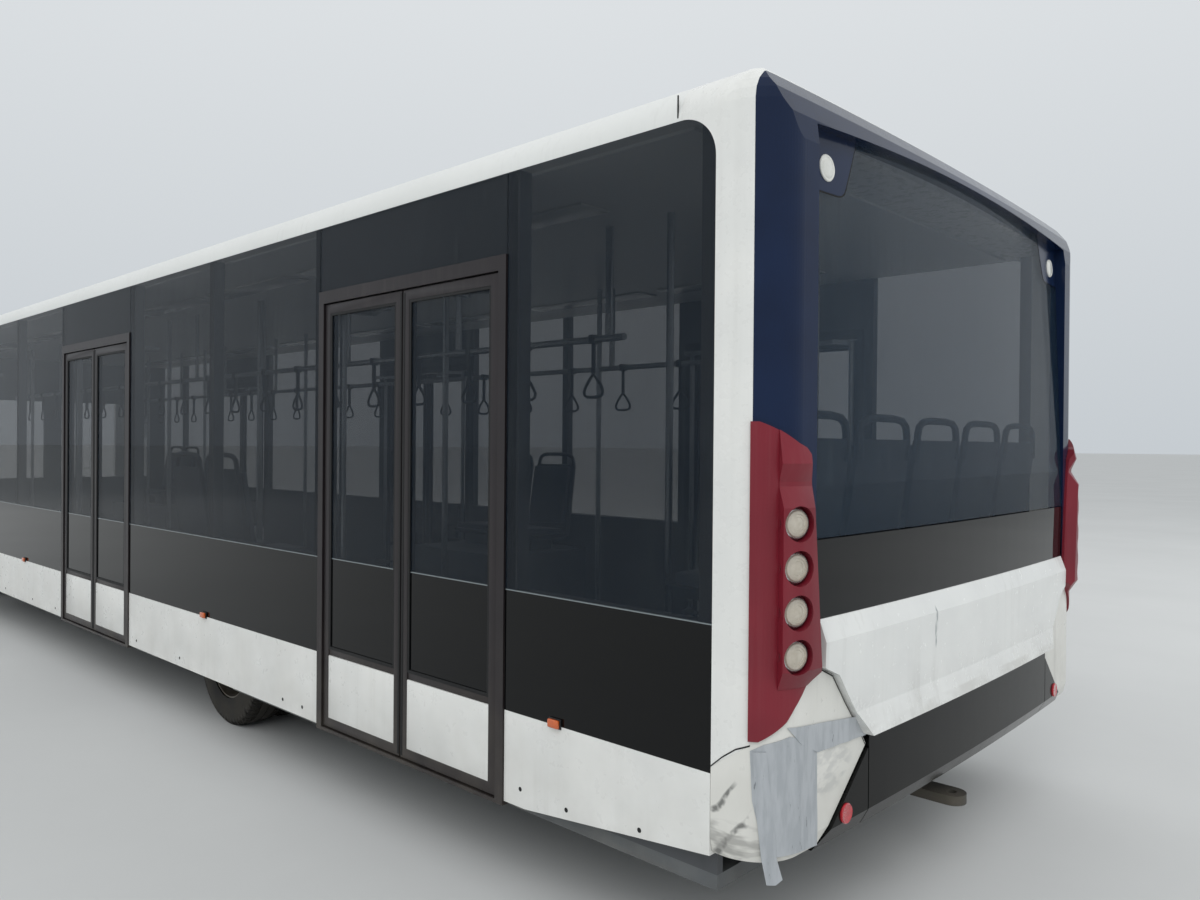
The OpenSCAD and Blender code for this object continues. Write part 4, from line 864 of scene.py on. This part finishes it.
def paddedBlock(size, crown):
    # A crowned pad: its sides pull in between the corners, its top bulges between two sewn seams
    bm = bmesh.new()
    bmesh.ops.create_cube(bm, size=1, matrix=Matrix.Diagonal((*size, 1)))
    bevelled(bm, bm.edges[:], min(size) * pads["edge"])
    bmesh.ops.subdivide_edges(bm, edges=bm.edges[:], cuts=3, use_grid_fill=True)
    for vert in bm.verts:
        u, v, w = (2 * vert.co.x / size[0], 2 * vert.co.y / size[1], 2 * vert.co.z / size[2])
        if w > 0:
            vert.co.z += crown * ((1 - u * u) * (1 - v * v)) * w
        vert.co.x -= pads["pullIn"] * (1 - v * v) * u * (1 - abs(w))
        vert.co.y -= pads["pullIn"] * (1 - u * u) * v * (1 - abs(w))
        if w > 0.5:
            seam = math.exp(-((abs(v) - pads["seamAt"]) / pads["seamWidth"]) ** 2)
            vert.co.z -= pads["seamDeep"] * seam
    return bm


# Five seats across the platform, two by each wheel box facing the aisle, and the driver's
places = [(seats["platformX"], k * seats["pitch"], seats["platformTop"], 0, seats["leg"])
          for k in range(-2, 3)]
for end in ("rear", "front"):
    low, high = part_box(f"tyre_{end}_left")
    for sign in (-1, 1):
        places += [((low.x + high.x) / 2 + k * seats["pitch"], sign * seats["boxY"],
                    seats["boxTop"], sign * -90, seats["boxLeg"]) for k in (-0.5, 0.5)]
places.append((*seats["driver"], 0, seats["leg"]))
shells = bmesh.new()
frames = {leg: seatFrame(leg) for leg in (seats["leg"], seats["boxLeg"])}
cushion = paddedBlock(seats["cushion"], seats["cushionCrown"])
backPad = paddedBlock(seats["backPad"], seats["backCrown"])
for index, (x, y, z, heading, leg) in enumerate(places):
    at = Matrix.Translation((x, y, z)) @ Matrix.Rotation(math.radians(heading), 4, "Z")
    place(shells, frames[leg], at)
    for name, part, (forward, up, tilt, turn) in (("seatCushion", cushion, seats["cushionAt"]),
                                                  ("backPad", backPad, seats["backAt"])):
        bm = bmesh.new()
        place(bm, part, at @ Matrix.Translation((forward, 0, leg + up))
              @ Matrix.Rotation(math.radians(tilt), 4, "Y")
              @ Matrix.Rotation(math.radians(turn), 4, "Z"))
        pad = finishPiece(bm, f"{name}.{index + 1:02d}", [moquette], "root",
                          ["seats"], 60)
finishPiece(shells, "seatShells", [seatPlastic, framePaint, brushedSteel], "root",
            ["seats"])
print("seats made:", len(places))

# Hanging straps on the grab rails: a band, a clip round the rail and a moulded loop
straps = {"railY": 0.64, "railZ": 2.3, "from": -5.3, "count": 20, "step": 0.475, "band": 0.028,
          "loop": [(0.018, -0.185), (0.05, -0.225), (0.062, -0.25), (0.058, -0.268),
                   (0.04, -0.278)]}
loop = bmesh.new()
addPipe(loop, [(0, 0, -0.17)] + [(0, y, z) for y, z in straps["loop"]] + [(0, 0, -0.28)]
        + [(0, -y, z) for y, z in reversed(straps["loop"])], 0.008, 8, True, 1)
half = straps["band"] / 2
addBlock(loop, (-half, -0.0015, -0.175), (half, 0.0015, 0.012))
addRing(loop, (-0.022, -0.022, 0.022, 0.022), (-0.0175, -0.0175, 0.0175, 0.0175), -0.015, 0.015)
bm = bmesh.new()
for sign in mirrorY:
    for k in range(straps["count"]):
        at = Matrix.Translation((straps["from"] + k * straps["step"], sign * straps["railY"],
                                 straps["railZ"]))
        place(bm, loop, at @ Matrix.Rotation(math.radians(90), 4, "Z"))
finishPiece(bm, "hangingStraps", [softRubber, grainedPlastic], "root")

# Ceiling lamps in two rows, rail brackets, cab glazing
cabin = {"ceiling": 2.833, "lampThick": 0.011, "lampY": 0.95, "lampHalf": 0.09,
         "lampFrom": -5.6, "lampStep": 1.3, "lampLength": 1.15, "lamps": 8,
         "bracketLow": 2.31, "bracketFrom": -5.4, "bracketStep": 1.15, "brackets": 9}
bm = bmesh.new()
for sign in mirrorY:
    y, half = sign * cabin["lampY"], cabin["lampHalf"]
    for k in range(cabin["lamps"]):
        x = cabin["lampFrom"] + k * cabin["lampStep"]
        addBlock(bm, (x, y - half, cabin["ceiling"] - cabin["lampThick"]),
                 (x + cabin["lampLength"], y + half, cabin["ceiling"]), 0.004, 0)
    y = sign * straps["railY"]
    for k in range(cabin["brackets"]):
        x = cabin["bracketFrom"] + k * cabin["bracketStep"]
        addBlock(bm, (x - 0.02, y - 0.008, cabin["bracketLow"]),
                 (x + 0.02, y + 0.008, cabin["ceiling"]), 0.003, 1)
finishPiece(bm, "ceilingLamps", [milkyDome, brushedSteel], "root")
pane = {"into": 0.015, "thick": 0.006, "y": (0.1, 1.2), "low": 1.3, "high": 2.3, "play": 0.0005}
bm = bmesh.new()
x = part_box("cab_wall")[0].x + pane["into"]
for sign in mirrorY:
    y = sorted(sign * y for y in pane["y"])
    addBlock(bm, (x, y[0] + pane["play"], pane["low"] + pane["play"]),
             (x + pane["thick"], y[1] - pane["play"], pane["high"] - pane["play"]))
finishPiece(bm, "cabWallPanes", [cabPane], "root")
print("cabin details made")

# Mirrors: rounded housing, glass face, bent arm
mirrorX = front["noseX"] - 0.4225
part = bmesh.new()
addBlock(part, (mirrorX - 0.034, 1.62, 1.85), (mirrorX + 0.04, 1.82, 2.29), 0.03, 0, 4)
addBlock(part, (mirrorX - 0.04, 1.632, 1.865), (mirrorX - 0.03, 1.808, 2.275), 0.004, 1)
addPipe(part, [(mirrorX, y, z) for y, z in ((1.485, 2.3), (1.55, 2.302), (1.66, 2.302),
                                            (1.705, 2.298), (1.72, 2.28))], 0.014, 12)
finishPiece(bothSides(part), "outsideMirrors", [grainedPlastic, silverReflector], "root",
            ["mirrors"])

# Wipers parked along the foot of the windscreen; the bowed nose keeps them in the bus's length
wiper = {"spans": ((0.36, 1.0), (-1.0, -0.36)), "z": 1.235, "rise": 0.05, "bladeOut": -0.002,
         "armOut": 0.001, "armShare": 0.97, "armLift": 0.012, "steps": 8}
knob = revolved([(0, 0.018), (0.016, 0.017), (0.02, 0.012), (0.02, 0.0)], 16)
bm = bmesh.new()
for start, end in wiper["spans"]:
    blade, arm = [], []
    for k in range(wiper["steps"] + 1):
        y = start + (end - start) * k / wiper["steps"]
        z = wiper["z"] + wiper["rise"] * k / wiper["steps"]
        lift = wiper["armLift"] * math.sin(math.pi * k / wiper["steps"])
        blade.append(nosePoint(y, z, wiper["bladeOut"])[0])
        arm.append(nosePoint(y * wiper["armShare"], z + lift, wiper["armOut"])[0])
    addPipe(bm, blade, 0.0045, 6, False, 1)
    addPipe(bm, arm, 0.006, 8, False, 0)
    pivot = (start if start > 0 else end) * wiper["armShare"]
    place(bm, knob, aimed(*nosePoint(pivot, wiper["z"], -0.015)), 0)
finishPiece(bm, "wipers", [grainedPlastic, softRubber], "root")

# Small dark fasteners along the skirts
fasteners = {"off": 0.0002, "z": 0.45, "places": [(-6.35, 0.49), (-6.0, 0.46), (-5.75, 0.47)]}
fasteners["places"] += [(x, fasteners["z"]) for x in (-4.1, -3.9, -2.6, -1.9, -0.2, 0.4, 1.2, 1.9,
                                                      5.3, 6.1)]
stud = revolved([(0, 0.0016), (0.007, 0.0014), (0.009, 0.0)], 12)
part = bmesh.new()
for x, z in fasteners["places"]:
    place(part, stud, aimed((x, rear["side"] + fasteners["off"], z), (0, 1, 0)))
finishPiece(bothSides(part), "skirtFasteners", [softRubber], "root")

# Dark joint in the roof's edge rail, where the long rail meets the rear hoop
joint = {"x": -6.49, "low": 2.856, "high": 2.931, "width": 0.005, "deep": 0.002,
         "proud": 0.0012}
part = bmesh.new()
addBlock(part, (joint["x"] - joint["width"] / 2, rear["side"] - joint["deep"], joint["low"]),
         (joint["x"] + joint["width"] / 2, rear["side"] + joint["proud"], joint["high"]), 0.0005)
finishPiece(bothSides(part), "railJoints", [softRubber], "root")
print("outside details made")

# Stage, light and camera
studio = {"floorSize": 400, "lit": 0.86, "shown": 1.0, "climb": 0.7, "lamps": (
    # name, place, aimed at, size, power
    ("keyLamp", (-15, 15, 16), (-2, 0, 1), 14, 1500),
    ("fillLamp", (-17, -12, 12), (-4, 0, 1), 12, 600),
    ("frontLamp", (17, 10, 14), (3, 0, 1), 14, 900))}
bm = bmesh.new()
bmesh.ops.create_grid(bm, x_segments=1, y_segments=1, size=studio["floorSize"])
floorMesh = bpy.data.meshes.new("floorPlane")
bm.to_mesh(floorMesh)
bm.free()
floorPlane = bpy.data.objects.new("floorPlane", floorMesh)
bpy.context.scene.collection.objects.link(floorPlane)
paper, tree, coords = newMaterial("floorPaper")
shade = addNode(tree, "Mix", {"data_type": "RGBA", 0: noiseMask(tree, coords, 2500, 0.3, 0.7),
                              6: "#D3D4D3", 7: "#D9DAD9"}).outputs[2]
shader = addNode(tree, "BsdfPrincipled", {"Roughness": 0.85, "Base Color": shade})
addNode(tree, "OutputMaterial", {0: shader})
floorMesh.materials.append(paper)

world = bpy.data.worlds.new("studio")
bpy.context.scene.world = world
world.use_nodes = True
tree = world.node_tree
tree.nodes.clear()
# Pale sky, a little darker towards the horizon; it lights at a lower strength than it shows
ray = addNode(tree, "LightPath")
seen = ray.outputs["Is Camera Ray"]
for kind in ("Is Glossy Ray", "Is Transmission Ray"):
    seen = addNode(tree, "Math", {"operation": "MAXIMUM", 0: seen, 1: ray.outputs[kind]})
strength = addNode(tree, "MapRange", {"To Min": studio["lit"], "To Max": studio["shown"],
                                      "Value": seen})
direction = addNode(tree, "TexCoord").outputs["Generated"]
climb = addNode(tree, "SeparateXYZ", {0: direction}).outputs["Z"]
share = addNode(tree, "MapRange", {"From Min": 0.0, "From Max": studio["climb"], "Value": climb})
shade = addNode(tree, "Mix", {"data_type": "RGBA", 0: share, 6: "#C6CCD1",
                              7: "#E9ECEE"}).outputs[2]
sky = addNode(tree, "Background", {"Color": shade, "Strength": strength})
addNode(tree, "OutputWorld", {0: sky})
for name, at, aim, size, power in studio["lamps"]:
    light = bpy.data.lights.new(name, "AREA")
    light.size, light.energy = size, power
    lamp = bpy.data.objects.new(name, light)
    lamp.matrix_world = aimed(at, Vector(at) - Vector(aim))
    lamp.visible_glossy = False  # soft light without a bright square in the glass
    bpy.context.scene.collection.objects.link(lamp)

# The camera stands where the photograph was taken; focal length and horizon in its pixels
photo = {"focal": 911.6, "width": 1200, "height": 900, "eye": (-8.347, 3.838, 1.79),
         "heading": (0.6841, -0.7294), "horizonLeft": 437.0, "horizonSlope": 0.0082,
         "horizonFrom": -372, "sensor": 36, "farthest": 1200}
ahead = Vector((*photo["heading"], 0)).normalized()
level = Vector((ahead.y, -ahead.x, 0))
middle = photo["horizonLeft"] + photo["horizonSlope"] * (
    photo["width"] / 2 - photo["horizonFrom"])
pitch = math.atan((photo["height"] / 2 - middle) / photo["focal"])
view = ahead * math.cos(pitch) + Vector((0, 0, -math.sin(pitch)))
upright = level.cross(view)
roll = math.atan(photo["horizonSlope"])
right = level * math.cos(roll) + upright * math.sin(roll)
up = right.cross(view)
camera = bpy.data.cameras.new("photoCamera")
camera.sensor_width = photo["sensor"]
camera.lens = photo["focal"] / photo["width"] * photo["sensor"]
camera.clip_end = photo["farthest"]
photoCamera = bpy.data.objects.new("photoCamera", camera)
turned = Matrix((right, up, -view)).transposed().to_4x4()
photoCamera.matrix_world = Matrix.Translation(photo["eye"]) @ turned
bpy.context.scene.collection.objects.link(photoCamera)
bpy.context.scene.camera = photoCamera
bpy.context.scene.view_settings.view_transform = "Standard"
